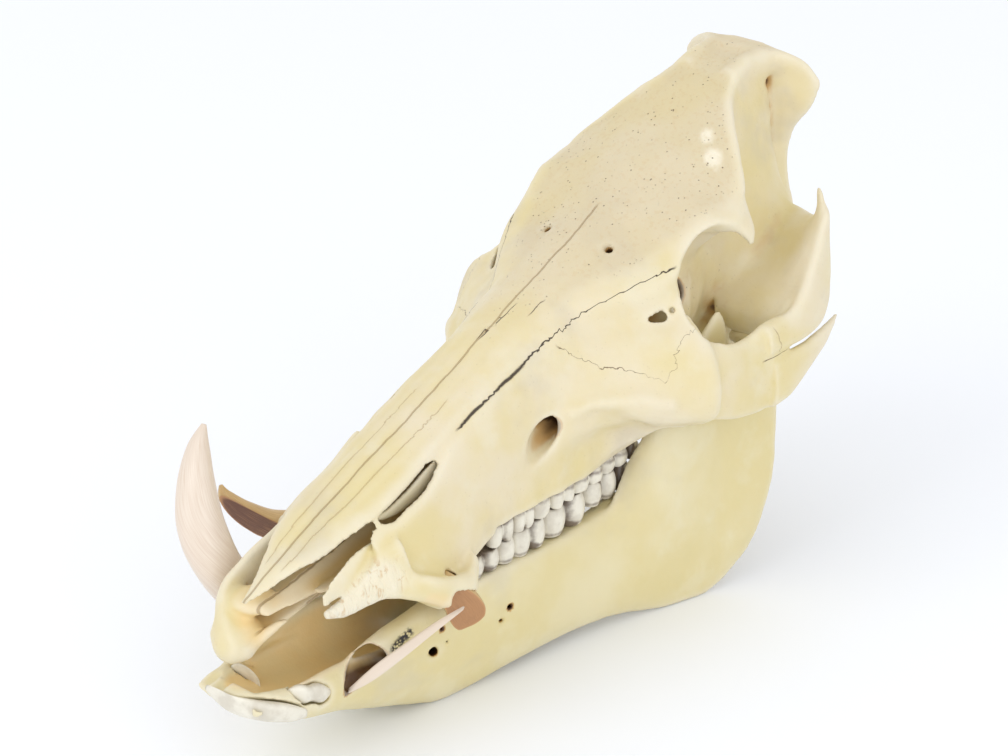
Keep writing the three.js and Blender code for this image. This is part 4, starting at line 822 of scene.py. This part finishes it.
def frontTooth(rows, extra=0.0):
    return limb([[x, y, z, w + extra, 0, 1, 0, 0, h + extra] for x, y, z, w, h in rows])


# Pushes every point that lies past a plane back onto it: a worn facet
def groundFlat(points, through, facing):
    facing = np.asarray(facing, float) / np.linalg.norm(facing)
    past = np.maximum((points - through) @ facing, 0)
    return points - past[:, None] * facing


# Colour code to the linear values that a shader takes
def linear(hexCode):
    values = [int(hexCode[i:i + 2], 16) / 255 for i in (1, 3, 5)]
    return [v / 12.92 if v <= 0.04045 else ((v + 0.055) / 1.055) ** 2.4 for v in values] + [1.0]


# Sets inputs to numbers or colour codes, or links them to the outputs of other nodes
def setInputs(node, inputs):
    for key, value in inputs.items():
        if isinstance(value, bpy.types.NodeSocket):
            node.id_data.links.new(value, node.inputs[key])
        else:
            node.inputs[key].default_value = linear(value) if isinstance(value, str) else value


def addNode(tree, kind, inputs, **settings):
    made = tree.nodes.new("ShaderNode" + kind)
    for key, value in settings.items():
        setattr(made, key, value)
    setInputs(made, inputs)
    return made


def startMaterial(name):
    made = bpy.data.materials.new(name)
    made.use_nodes = True
    return made, made.node_tree, made.node_tree.nodes["Principled BSDF"]


# Links colour and bump to the shader and sets or links its other inputs
def finishShader(shader, colour, height, strength, distance, others):
    bump = addNode(shader.id_data, "Bump", {"Height": height, "Strength": strength,
                                            "Distance": distance})
    setInputs(shader, {"Base Color": colour, "Normal": bump.outputs[0], **others})


def noise(place, scale, detail, **inputs):
    return addNode(place.id_data, "TexNoise", {"Vector": place, "Scale": scale, "Detail": detail,
                                               **inputs}).outputs["Fac"]


# Noise whose blotches are about so many millimetres across
def blotches(place, size, detail=4.0):
    return noise(place, 1000.0 / size / 2, detail, Roughness=0.55)


# Distance to the nearest of many scattered points, in cells of the pattern
def pits(place, scale):
    return addNode(place.id_data, "TexVoronoi", {"Vector": place, "Scale": scale},
                   feature="F1").outputs["Distance"]


# A smooth step that takes one range of a value to another
def spread(value, fromLow, fromHigh, toLow=0.0, toHigh=1.0):
    return addNode(value.id_data, "MapRange",
                   {"Value": value, "From Min": fromLow, "From Max": fromHigh, "To Min": toLow,
                    "To Max": toHigh}, interpolation_type="SMOOTHSTEP").outputs["Result"]


def maths(operation, a, b=0.0):
    return addNode(a.id_data, "Math", {0: a, 1: b}, operation=operation).outputs[0]


def times(a, b):
    return maths("MULTIPLY", a, b)


def plus(a, b):
    return maths("ADD", a, b)


def minus(a, b):
    return maths("SUBTRACT", a, b)


def tint(factor, below, above):
    return addNode(factor.id_data, "Mix", {0: factor, 6: below, 7: above},
                   data_type="RGBA").outputs[2]


def attribute(tree, name):
    return addNode(tree, "Attribute", {}, attribute_name=name).outputs["Fac"]


# 1 on a wavering line of the given half width along a curve painted as side and along, else 0;
# it fades out at both ends
def seamLine(place, name, length, halfWidth, waver, waverSize):
    tree = place.id_data
    off = times(minus(noise(place, 1000.0 / waverSize / 2, 3.0), 0.5), 2 * waver)
    gap = maths("ABSOLUTE", plus(attribute(tree, name + "Side"), off))
    line = spread(gap, halfWidth * 0.45, halfWidth * 1.35, 1.0, 0.0)
    along = attribute(tree, name + "Along")
    return times(line, times(spread(along, -1.0, 3.0),
                             spread(along, length - 3.0, length + 1.0, 1.0, 0.0)))


# The roof of the skull: a greyer tone with specks and pinholes, a pale patch where the bone is
# chipped, and the wrinkled broken face beside the nose
def roofLook(tree, place, colour, height, tones, small, fine):
    roof = attribute(tree, "roof")
    speck = spread(fine, 0.36, 0.47, 1.0, 0.0)
    colour = tint(times(roof, 0.6), colour, tones["roof"])
    colour = tint(times(times(roof, speck), 0.12), colour, tones["tan"])
    pinholes = times(spread(pits(place, 420.0), 0.1, 0.2, 1.0, 0.0), plus(times(roof, 0.9), 0.1))
    pinholes = times(pinholes, spread(blotches(place, 3), 0.47, 0.58))
    colour = tint(times(attribute(tree, "palePatch"), spread(small, 0.3, 0.5)), colour,
                  tones["chipped"])
    wrinkled = attribute(tree, "wrinkled")
    stretched = addNode(tree, "Mapping", {"Vector": place, "Rotation": (0.5, 0, 0.3),
                                          "Scale": (1, 1.6, 0.55)}).outputs[0]
    folds = noise(stretched, 330.0, 3.0, Distortion=0.8)
    colour = tint(times(wrinkled, 0.7), colour, tones["edge"])
    colour = tint(times(wrinkled, spread(folds, 0.3, 0.45, 0.6, 0.0)), colour, tones["tan"])
    colour = tint(times(pinholes, 0.75), colour, tones["brown"])
    return colour, minus(plus(height, times(wrinkled, times(folds, 3.2))), pinholes)


# Dry bone, boiled and bleached: matt with a faint waxy sheen. It shows cream with yellow and
# mauve-grey blotches, tan and brown in every hollow that is partly stain and partly painted
# shade, a warmer tan that is painted bounce light inside the nose and the jaw's dish and a warm
# tone on the rim of the upper tusk, paler edges, painted shade in the dark cells of spongy
# breaks, fine grain and pinholes.
def boneMaterial(name, tones, seams):
    made, tree, shader = startMaterial(name)
    place = addNode(tree, "TexCoord", {}).outputs["Object"]
    broad, middle, small = (blotches(place, s) for s in (38, 13, 4))
    fine = blotches(place, 1.2, 3.0)
    colour = tint(spread(broad, 0.38, 0.62), tones["cream"], tones["yellow"])
    colour = tint(spread(middle, 0.5, 0.68, 0.0, 0.45), colour, tones["pale"])
    shifted = addNode(tree, "Mapping", {"Vector": place, "Location": (0.3, 0.7, 0.2)})
    grey = blotches(shifted.outputs[0], 24)
    colour = tint(spread(grey, 0.56, 0.7, 0.0, 0.35), colour, tones["grey"])
    height = plus(times(fine, 0.35), times(small, 0.65))
    if "roof" in tones:
        colour, height = roofLook(tree, place, colour, height, tones, small, fine)
    # Painted shade and stain: tan, then brown, where the bone closes round a hollow and inside deep
    # holes
    stain = plus(attribute(tree, "shadeAndStain"), times(minus(small, 0.5), 0.35))
    colour = tint(spread(stain, 0.1, 0.55, 0.0, 0.8), colour, tones["tan"])
    colour = tint(spread(stain, 0.55, 1.0, 0.0, 0.95), colour, tones["brown"])
    # A warmer tan: painted bounce light in shaded hollows, and the warm tone of the tusk rim
    colour = tint(times(attribute(tree, "warmBounceAndTone"), spread(middle, 0.3, 0.6, 0.6, 0.95)), colour,
                  tones["warmBounceAndTone"])
    colour = tint(spread(attribute(tree, "edge"), 0.15, 0.9, 0.0, 0.5), colour, tones["edge"])
    # Dark cells in spongy breaks: painted shade inside the pores, with the surface pushed in there
    dark = times(attribute(tree, "spongy"), spread(pits(place, 700.0), 0.25, 0.6))
    colour = tint(dark, colour, tones["cells"])
    height = minus(height, times(dark, 2.0))
    for seamName, seam in seams.items():
        halfWidth, waver, waverSize, strength, seamColour, depth = seam["line"]
        line = seamLine(place, seamName, seam["length"], halfWidth, waver, waverSize)
        colour = tint(times(line, strength), colour, seamColour)
        height = minus(height, times(line, depth))
    rough = spread(small, 0.3, 0.7, tones["smoothest"], tones["roughest"])
    finishShader(shader, colour, height, 0.55, 0.0006,
                 {"Roughness": rough, "IOR": 1.5, "Subsurface Weight": 0.06,
                  "Subsurface Radius": (0.003, 0.002, 0.0012)})
    return made


jawTones = {"cream": "#DDD2AA", "yellow": "#D8CA96", "pale": "#E0D8B8", "grey": "#C6BDA6",
            "tan": "#B98A40", "brown": "#4A2B14", "edge": "#E6DFCC", "warmBounceAndTone": "#E4C78C",
            "cells": "#1D150E", "smoothest": 0.36, "roughest": 0.55}
craniumTones = dict(jawTones, cream="#DDD1B4", yellow="#D9CA96", pale="#E0D8C0", grey="#BDB4A6",
                    tan="#BC8F48", roof="#CDBE9C", chipped="#EAE2CC", smoothest=0.42,
                    roughest=0.62)


# Worn enamel: hard and glossy, grey-white, darker in the folds as painted shade, with brown tartar
# at the gum
def enamelMaterial():
    made, tree, shader = startMaterial("worn_enamel")
    place = addNode(tree, "TexCoord", {}).outputs["Object"]
    patches, small = blotches(place, 5), blotches(place, 1.4)
    colour = tint(spread(patches, 0.4, 0.65), "#E4DFD0", "#CFC8B8")
    # Painted shade in the folds and brown tartar at the gum
    stain = plus(attribute(tree, "shadeAndStain"), times(minus(small, 0.5), 0.5))
    colour = tint(spread(stain, 0.12, 0.7, 0.0, 0.9), colour, "#5A4636")
    finishShader(shader, colour, small, 0.3, 0.0003, {"Roughness": 0.28, "IOR": 1.62})
    return made


# Tusk ivory: dense and satin, pinkish cream, with fine streaks that run from root to tip and
# patches of stain. A ground face takes the polished tone, with stain between the streaks.
# The tusk's map runs along it in v, in centimetres, and round it in u.
def ivoryMaterial(name, light, dark, stain, polished, stained):
    made, tree, shader = startMaterial(name)
    place = addNode(tree, "TexCoord", {})
    stretched = addNode(tree, "Mapping", {"Vector": place.outputs["UV"],
                                          "Scale": (9.0, 0.35, 1.0)}).outputs[0]
    streaks = noise(stretched, 2.2, 5.0)
    broad = blotches(place.outputs["Object"], 22)
    colour = tint(spread(streaks, 0.3, 0.75, 0.0, 0.7), light, dark)
    patch = plus(times(streaks, 0.5), times(broad, 0.5))
    colour = tint(spread(patch, 0.62 - stained, 0.74 - stained, 0.0, 0.75), colour, stain)
    ground = attribute(tree, "ground")
    colour = tint(spread(ground, 0.03, 0.25), colour, polished)
    worn = times(spread(ground, 0.3, 1.0), spread(patch, 0.36, 0.56, 0.35, 0.95))
    colour = tint(worn, colour, stain)
    finishShader(shader, colour, streaks, 0.2, 0.0002, {"Roughness": 0.34, "IOR": 1.54})
    return made



def giveMaterial(made, material):
    made.data.materials.clear()
    made.data.materials.append(material)


def place(made, node, material, slot):
    giveMaterial(made, material)
    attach(made, "root")
    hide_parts(node)


# 1 within the radius of a path given as rows of point and radius, then falling to 0 over a
# share of the radius
def closeTo(points, rows, fall=0.6):
    rows = np.asarray(rows, float)
    best = np.full(len(points), np.inf)
    for a, b in zip(rows[:-1], rows[1:]):
        d = b[:3] - a[:3]
        t = np.clip((points - a[:3]) @ d / (d @ d), 0, 1)
        gap = np.linalg.norm(points - a[:3] - t[:, None] * d, axis=1)
        best = np.minimum(best, gap / (a[3] + t * (b[3] - a[3])))
    return np.clip((1 + fall - best) / fall, 0, 1)


# Painted shade and stain of hollows: how much more than half of the nearby space is bone,
# within 3.5 mm and within 9 mm, and full inside the deep paths; edge is how much less of it is
# bone within 3.5 mm
def paintBone(made, space, deepPaths):
    points, normals = pointsOf(made), normalsOf(made)
    solid = (space["field"] < 0).astype(np.float32)
    nearCells, wideCells = (max(int(reach / space["step"]), 1) for reach in (3.5, 9))
    near = blurred(blurred(solid, nearCells), 1)
    wide = blurred(blurred(solid, wideCells), 2)
    at = points + normals  # 1 mm above the surface
    nearShare, wideShare = sampled(space, near, at), sampled(space, wide, at)
    shadeAndStain = np.clip((nearShare - 0.5) * 2.6, 0, 1) * 0.6 + np.clip((wideShare - 0.5) * 3.2, 0, 1)
    for rows in deepPaths:
        shadeAndStain = np.maximum(shadeAndStain, closeTo(points, rows, 0.25))
    paint(made, "shadeAndStain", np.clip(shadeAndStain, 0, 1))
    paint(made, "edge", np.clip((0.42 - nearShare) * 4, 0, 1))
    return points, normals


enamel = enamelMaterial()
ivory = ivoryMaterial("tusk_ivory", "#E2D5C6", "#D2BEAC", "#B08A4E", "#D2BEAC", 0.02)
stainedIvory = ivoryMaterial("stained_tusk_ivory", "#CDAF7B", "#A8824E", "#5E3016", "#B8885A",
                             0.0)

frontRooms = [frontTooth(rows, 0.9) for rows in teeth["front"].values()]
upperRoom, lowerRoom = (toothRoom(teeth["upper"], -1, 9, 60),
                        toothRoom(teeth["lower"], 1, 1, 95))
tuskRooms = [horn(grown(teeth["upperTuskRight"], 0.5)),
             horn(grown(teeth["upperTuskLeft"], 0.5), flat=0.7),
             horn(grown(teeth["lowerTusk"], 0.6), flat=0.86)]
craniumSpace = buildCranium(tuskRooms + [upperRoom, mirrored(upperRoom)])
skull = objectFrom(craniumSpace, "cranium_bone", 190000)
# Deep holes of the cranium, painted fully dark inside as painted shade
infraorbitalDepth = [[31, 169, 118, 5], [27, 188, 122, 6]]
noseDepth = [[0, 112, 104, 17], [0, 150, 116, 17]]
deepPaths = [onSide(rows, side) for side in (1, -1)
             for rows in (grown(cranium["orbitHole"], 0.6), infraorbitalDepth)]
points, normals = paintBone(skull, craniumSpace, deepPaths + [noseDepth])

# The seams and cracks of the cranium: the curve that each follows on the left side, and the half
# width, the waver and its size in mm, the strength, the colour and the depth of its line
seams = {
    "gap": {"curve": cranium["openSuture"], "line": (0.75, 0.8, 5, 0.95, "#2E1D12", 3.0)},
    "seam": {"curve": [[26, 180, 152], [34, 186, 147], [41, 193, 142], [46, 203, 138],
                       [52, 213, 133], [57, 217, 131], [58, 222, 136], [58, 221, 142],
                       [60, 228, 150], [62, 232, 152], [64, 235, 149], [67, 237, 149]],
             "line": (0.3, 2.2, 1.5, 0.85, "#5E4226", 1.2)},
    "slit": {"curve": [[76.4, 264, 129.5], [77.2, 273, 130.2], [78, 281, 130.8]],
             "line": (0.35, 0.5, 5, 0.8, "#5E4226", 2.0)},
    "crackA": {"curve": [[3, 180.6, 164.7], [1.6, 170.5, 160], [0.5, 157.7, 154.1]],
               "line": (0.28, 1.0, 5, 0.9, "#3C2A1A", 2.0)},
    "crackB": {"curve": [[12.1, 188.5, 166.6], [11.4, 178, 162]],
               "line": (0.25, 1.0, 4, 0.8, "#4A3421", 1.5)},
    "ridge": {"curve": [[4.5, 30, 95], [7.4, 60, 110.5], [8.4, 90, 123.5], [9, 128, 140]],
              "line": (0.4, 1.4, 12, 0.35, "#A07C44", 0.8)},
    "cheek": {"curve": [[76.5, 272, 144], [77.5, 275, 131]],
              "line": (0.3, 0.6, 3, 0.5, "#8A6B4A", 1.0)},
    "middle": {"curve": [[0, 10, 87], [0, 120, 137], [0, 240, 193]],
               "line": (0.5, 0.9, 6, 0.55, "#8C6A38", 1.5)},
}
# Folded onto the left side, so that each curve is painted on both sides
folded = np.column_stack([np.abs(points[:, 0]), points[:, 1:]])
foldedNormals = normals * np.where(points[:, :1] < 0, [-1, 1, 1], 1)
for name, seam in seams.items():
    side, along, seam["length"] = sideOfCurve(folded, foldedNormals, seam["curve"])
    if name == "middle":
        side = points[:, 0]
    if name.startswith("crack"):  # only left of x -2
        side = np.where(points[:, 0] > -2, side, farAside)
    paint(skull, name + "Side", side)
    paint(skull, name + "Along", along)
# The roof: inside its edge, facing up, and fading in over 70 mm from y 150
inward = np.interp(points[:, 1], *cranium["roofEdge"]) - folded[:, 0]
paint(skull, "roof", np.clip(inward / 6, 0, 1) * np.clip(normals[:, 2] * 2.5, 0, 1)
      * np.clip((points[:, 1] - 150) / 70, 0, 1))
patches = [[[31.9, 281, 210.3, 3], [31, 282.5, 211, 3]],
           [[23.8, 287.5, 217, 2.2], [23, 289, 217.6, 2.2]]]
paint(skull, "palePatch", np.max([closeTo(points, rows, 0.8) for rows in patches], axis=0))
# Painted warm bounce light inside the nose, and a warm tone on the rim of the upper tusk
insideNose = closeTo(points, [[0, 30, 74, 14], [0, 60, 82, 15], [0, 90, 90, 17],
                              [0, 120, 98, 17]], 0.4)
tuskRim = closeTo(points, [centre + [3.4] for centre in cranium["tuskRim"][1:]], 0.7)
paint(skull, "warmBounceAndTone", np.maximum(insideNose, 0.9 * tuskRim))
paint(skull, "wrinkled", closeTo(points, [[22.5, 40, 78.5, 3], [25, 50, 80, 4.5],
                                          [28, 58, 83.5, 6], [30, 65, 87, 7]]))
paint(skull, "spongy", np.zeros(len(points)))
place(skull, "cranium", boneMaterial("dry_bleached_bone", craniumTones, seams), "bone")

jawSpace = buildMandible([lowerRoom, mirrored(lowerRoom)] + frontRooms)
jaw = objectFrom(jawSpace, "mandible_bone", 150000)
# The insides of the broken socket and of the nerve holes are painted fully dark, as painted shade
nerveInsides = [[[x - 0.5, y + 0.5, z - 0.3, r + 0.3], [x - 7, y + 6, z - 3.5, r + 0.3]]
                for x, y, z, r in mandible["nerveHoles"]]
points, normals = paintBone(jaw, jawSpace, [grown(mandible["brokenSocket"], 0.4)] + nerveInsides)
# Painted warm bounce light in the dish behind the front teeth, spongy where the left socket is
# broken open
paint(jaw, "warmBounceAndTone", closeTo(points, [[0, 14, 48, 9], [0, 34, 48, 15], [1, 64, 48, 15],
                                    [1, 96, 48, 17], [0, 125, 46, 17]], 0.25))
paint(jaw, "spongy", closeTo(points, [[24.5, 75, 46, 1.6], [27.5, 83, 51, 1.6]]))
place(jaw, "mandible", boneMaterial("dry_bleached_jaw_bone", jawTones, {}), "jaw_bone")
print("bones done")

# Painted shade and stain of a crown: painted shade in the folds between its columns, which lie
# further in than the columns reach, and brown tartar within 2.2 mm of the gum
for jawName, up in (("upper", -1), ("lower", 1)):
    toothRow = teeth[jawName]
    for index, toothName in enumerate(teeth["names"]):
        crownPoints, quads = toothMesh(toothRow, index, up)
        start, stop = toothRow["starts"][index:index + 2]
        gumHeight = gumLine(toothRow, (start + stop) / 2)[1]
        reach = (stop - start) / toothRow["lobes"][index] / 2
        centre = crownPoints.mean(0)
        for sideName, side in (("left", 1), ("right", -1)):
            node = f"{jawName}_{toothName}_{sideName}"
            moved = crownPoints * [side, 1, 1]
            crown = makeObject(node + "_enamel", moved, quads[:, ::side])
            outward = ((moved - centre * [side, 1, 1]) * normalsOf(crown))[:, :2].sum(1)
            fold = np.clip(0.75 - outward / max(reach * 1.1, 3), 0, 1)
            neck = np.clip(1 - np.abs(moved[:, 2] - gumHeight) / 2.2, 0, 1)
            paint(crown, "shadeAndStain", np.clip(fold * 0.9 + neck * 0.5, 0, 1))
            place(crown, node, enamel, "enamel")
print("teeth done")


# A tusk: a horn with three soft ridges round it, ground flat by a facet of point and direction.
# Where the facet took off 2.2 mm or more the face counts as fully worn, times wear.
def tuskObject(name, rows, node, material, slot, flat=1.0, ridge=0.03, facet=None, wear=1.0):
    sides = 56
    rings = hornRings(rows, sides=sides, steps=16, flat=flat)
    turn = np.linspace(0, 2 * np.pi, sides, endpoint=False)
    middle = rings.mean(1, keepdims=True)
    ridged = 1 + ridge * np.cos(3 * turn + 0.6)[None, :, None]
    before, quads, tris = skinRings(middle + (rings - middle) * ridged)
    points = groundFlat(before, *facet) if facet else before
    made = makeObject(name, points, quads, tris)
    count = len(rings)
    v = np.concatenate([np.repeat(np.arange(count) * 0.1, sides), [0, count * 0.1]])
    u = np.concatenate([np.tile(np.minimum(turn, 2 * np.pi - turn), count), [0, 0]])
    layer = made.data.uv_layers.new(name="along")
    corner = np.empty(len(made.data.loops), np.int32)
    made.data.loops.foreach_get("vertex_index", corner)
    layer.data.foreach_set("uv", np.stack([u[corner], v[corner]], -1).astype(np.float32).ravel())
    removed = np.linalg.norm(points - before, axis=1)
    paint(made, "ground", np.clip(removed / 2.2, 0, 1) * wear)
    place(made, node, material, slot)


tuskObject("lower_tusk_right_ivory", teeth["lowerTusk"], "lower_tusk_right", ivory, "ivory",
           flat=0.86, ridge=0.05)
tuskObject("upper_tusk_right_ivory", teeth["upperTuskRight"], "upper_tusk_right", stainedIvory,
           "stained_ivory", facet=((-48.2, 74.4, 77.4), (0.44, -0.77, -0.35)))
tuskObject("upper_tusk_left_ivory", teeth["upperTuskLeft"], "upper_tusk_left", stainedIvory,
           "stained_ivory", flat=0.7, facet=((46.8, 97, 60.5), (0.86, -0.5, -0.05)), wear=0.55)
splinter = makeObject("lower_tusk_splinter_ivory", *limb(teeth["splinter"], steps=12))
paint(splinter, "ground", np.zeros(len(splinter.data.vertices)))
place(splinter, "lower_tusk_left_splinter", ivory, "ivory")
for node, rows in teeth["front"].items():
    tooth = makeObject(node + "_enamel", *frontTooth(rows))
    paint(tooth, "shadeAndStain", np.zeros(len(tooth.data.vertices)))
    place(tooth, node, enamel, "enamel")
print("tusks done")

# Matt white paper on the floor, two large soft lamps and a bright even surround
stage = {"floor": "#F6F9FF", "world": 0.97, "key": 7.8, "fill": 7.0}
floorMesh = bpy.data.meshes.new("studio_floor")
floorMesh.from_pydata([(-6, -6, 0), (6, -6, 0), (6, 6, 0), (-6, 6, 0)], [], [(0, 1, 2, 3)])
floorObject = addObject("studio_floor", floorMesh)
floorMaterial, _, floorShader = startMaterial("matt_white_paper")
setInputs(floorShader, {"Base Color": stage["floor"], "Roughness": 0.9})
giveMaterial(floorObject, floorMaterial)


def areaLight(name, energy, size, position, target=(0, 0, 0.12)):
    light = bpy.data.lights.new(name, "AREA")
    light.energy, light.size = energy, size
    made = addObject(name, light)
    made.location = position
    aim = Vector(target) - Vector(position)
    made.rotation_euler = aim.to_track_quat("-Z", "Y").to_euler()


areaLight("key_light", stage["key"], 1.2, (-0.3, -1.6, 1.3))
areaLight("fill_light", stage["fill"], 1.5, (1.7, -0.7, 0.7))
world = bpy.data.worlds.new("studio")
bpy.context.scene.world = world
world.use_nodes = True
setInputs(world.node_tree.nodes["Background"], {"Color": (1, 1, 1, 1), "Strength": stage["world"]})

# The camera as fitted to the photo: turn and height in degrees, distance and focal length in
# millimetres and pixels of a frame 1008 wide, and the point it looks at
view = {"turn": 41.1, "height": 25.7, "distance": 1197, "focal": 2656, "width": 1008,
        "target": (-11.1, 187.7, 121.6)}
turn, height = math.radians(view["turn"]), math.radians(view["height"])
back = Vector((math.sin(turn) * math.cos(height), -math.cos(turn) * math.cos(height),
               math.sin(height)))
right = Vector((math.cos(turn), math.sin(turn), 0))
upward = back.cross(right)
camera = bpy.data.cameras.new("camera")
camera.sensor_fit = "HORIZONTAL"
camera.sensor_width = 36
camera.lens = view["focal"] * camera.sensor_width / view["width"]
cameraObject = addObject("camera", camera)
eye = Vector(toFrame(view["target"])) + back * view["distance"] / 1000
turned = Matrix((right, upward, back)).transposed().to_4x4()
cameraObject.matrix_world = Matrix.Translation(eye) @ turned
bpy.context.scene.camera = cameraObject
bpy.context.scene.view_settings.view_transform = "Standard"
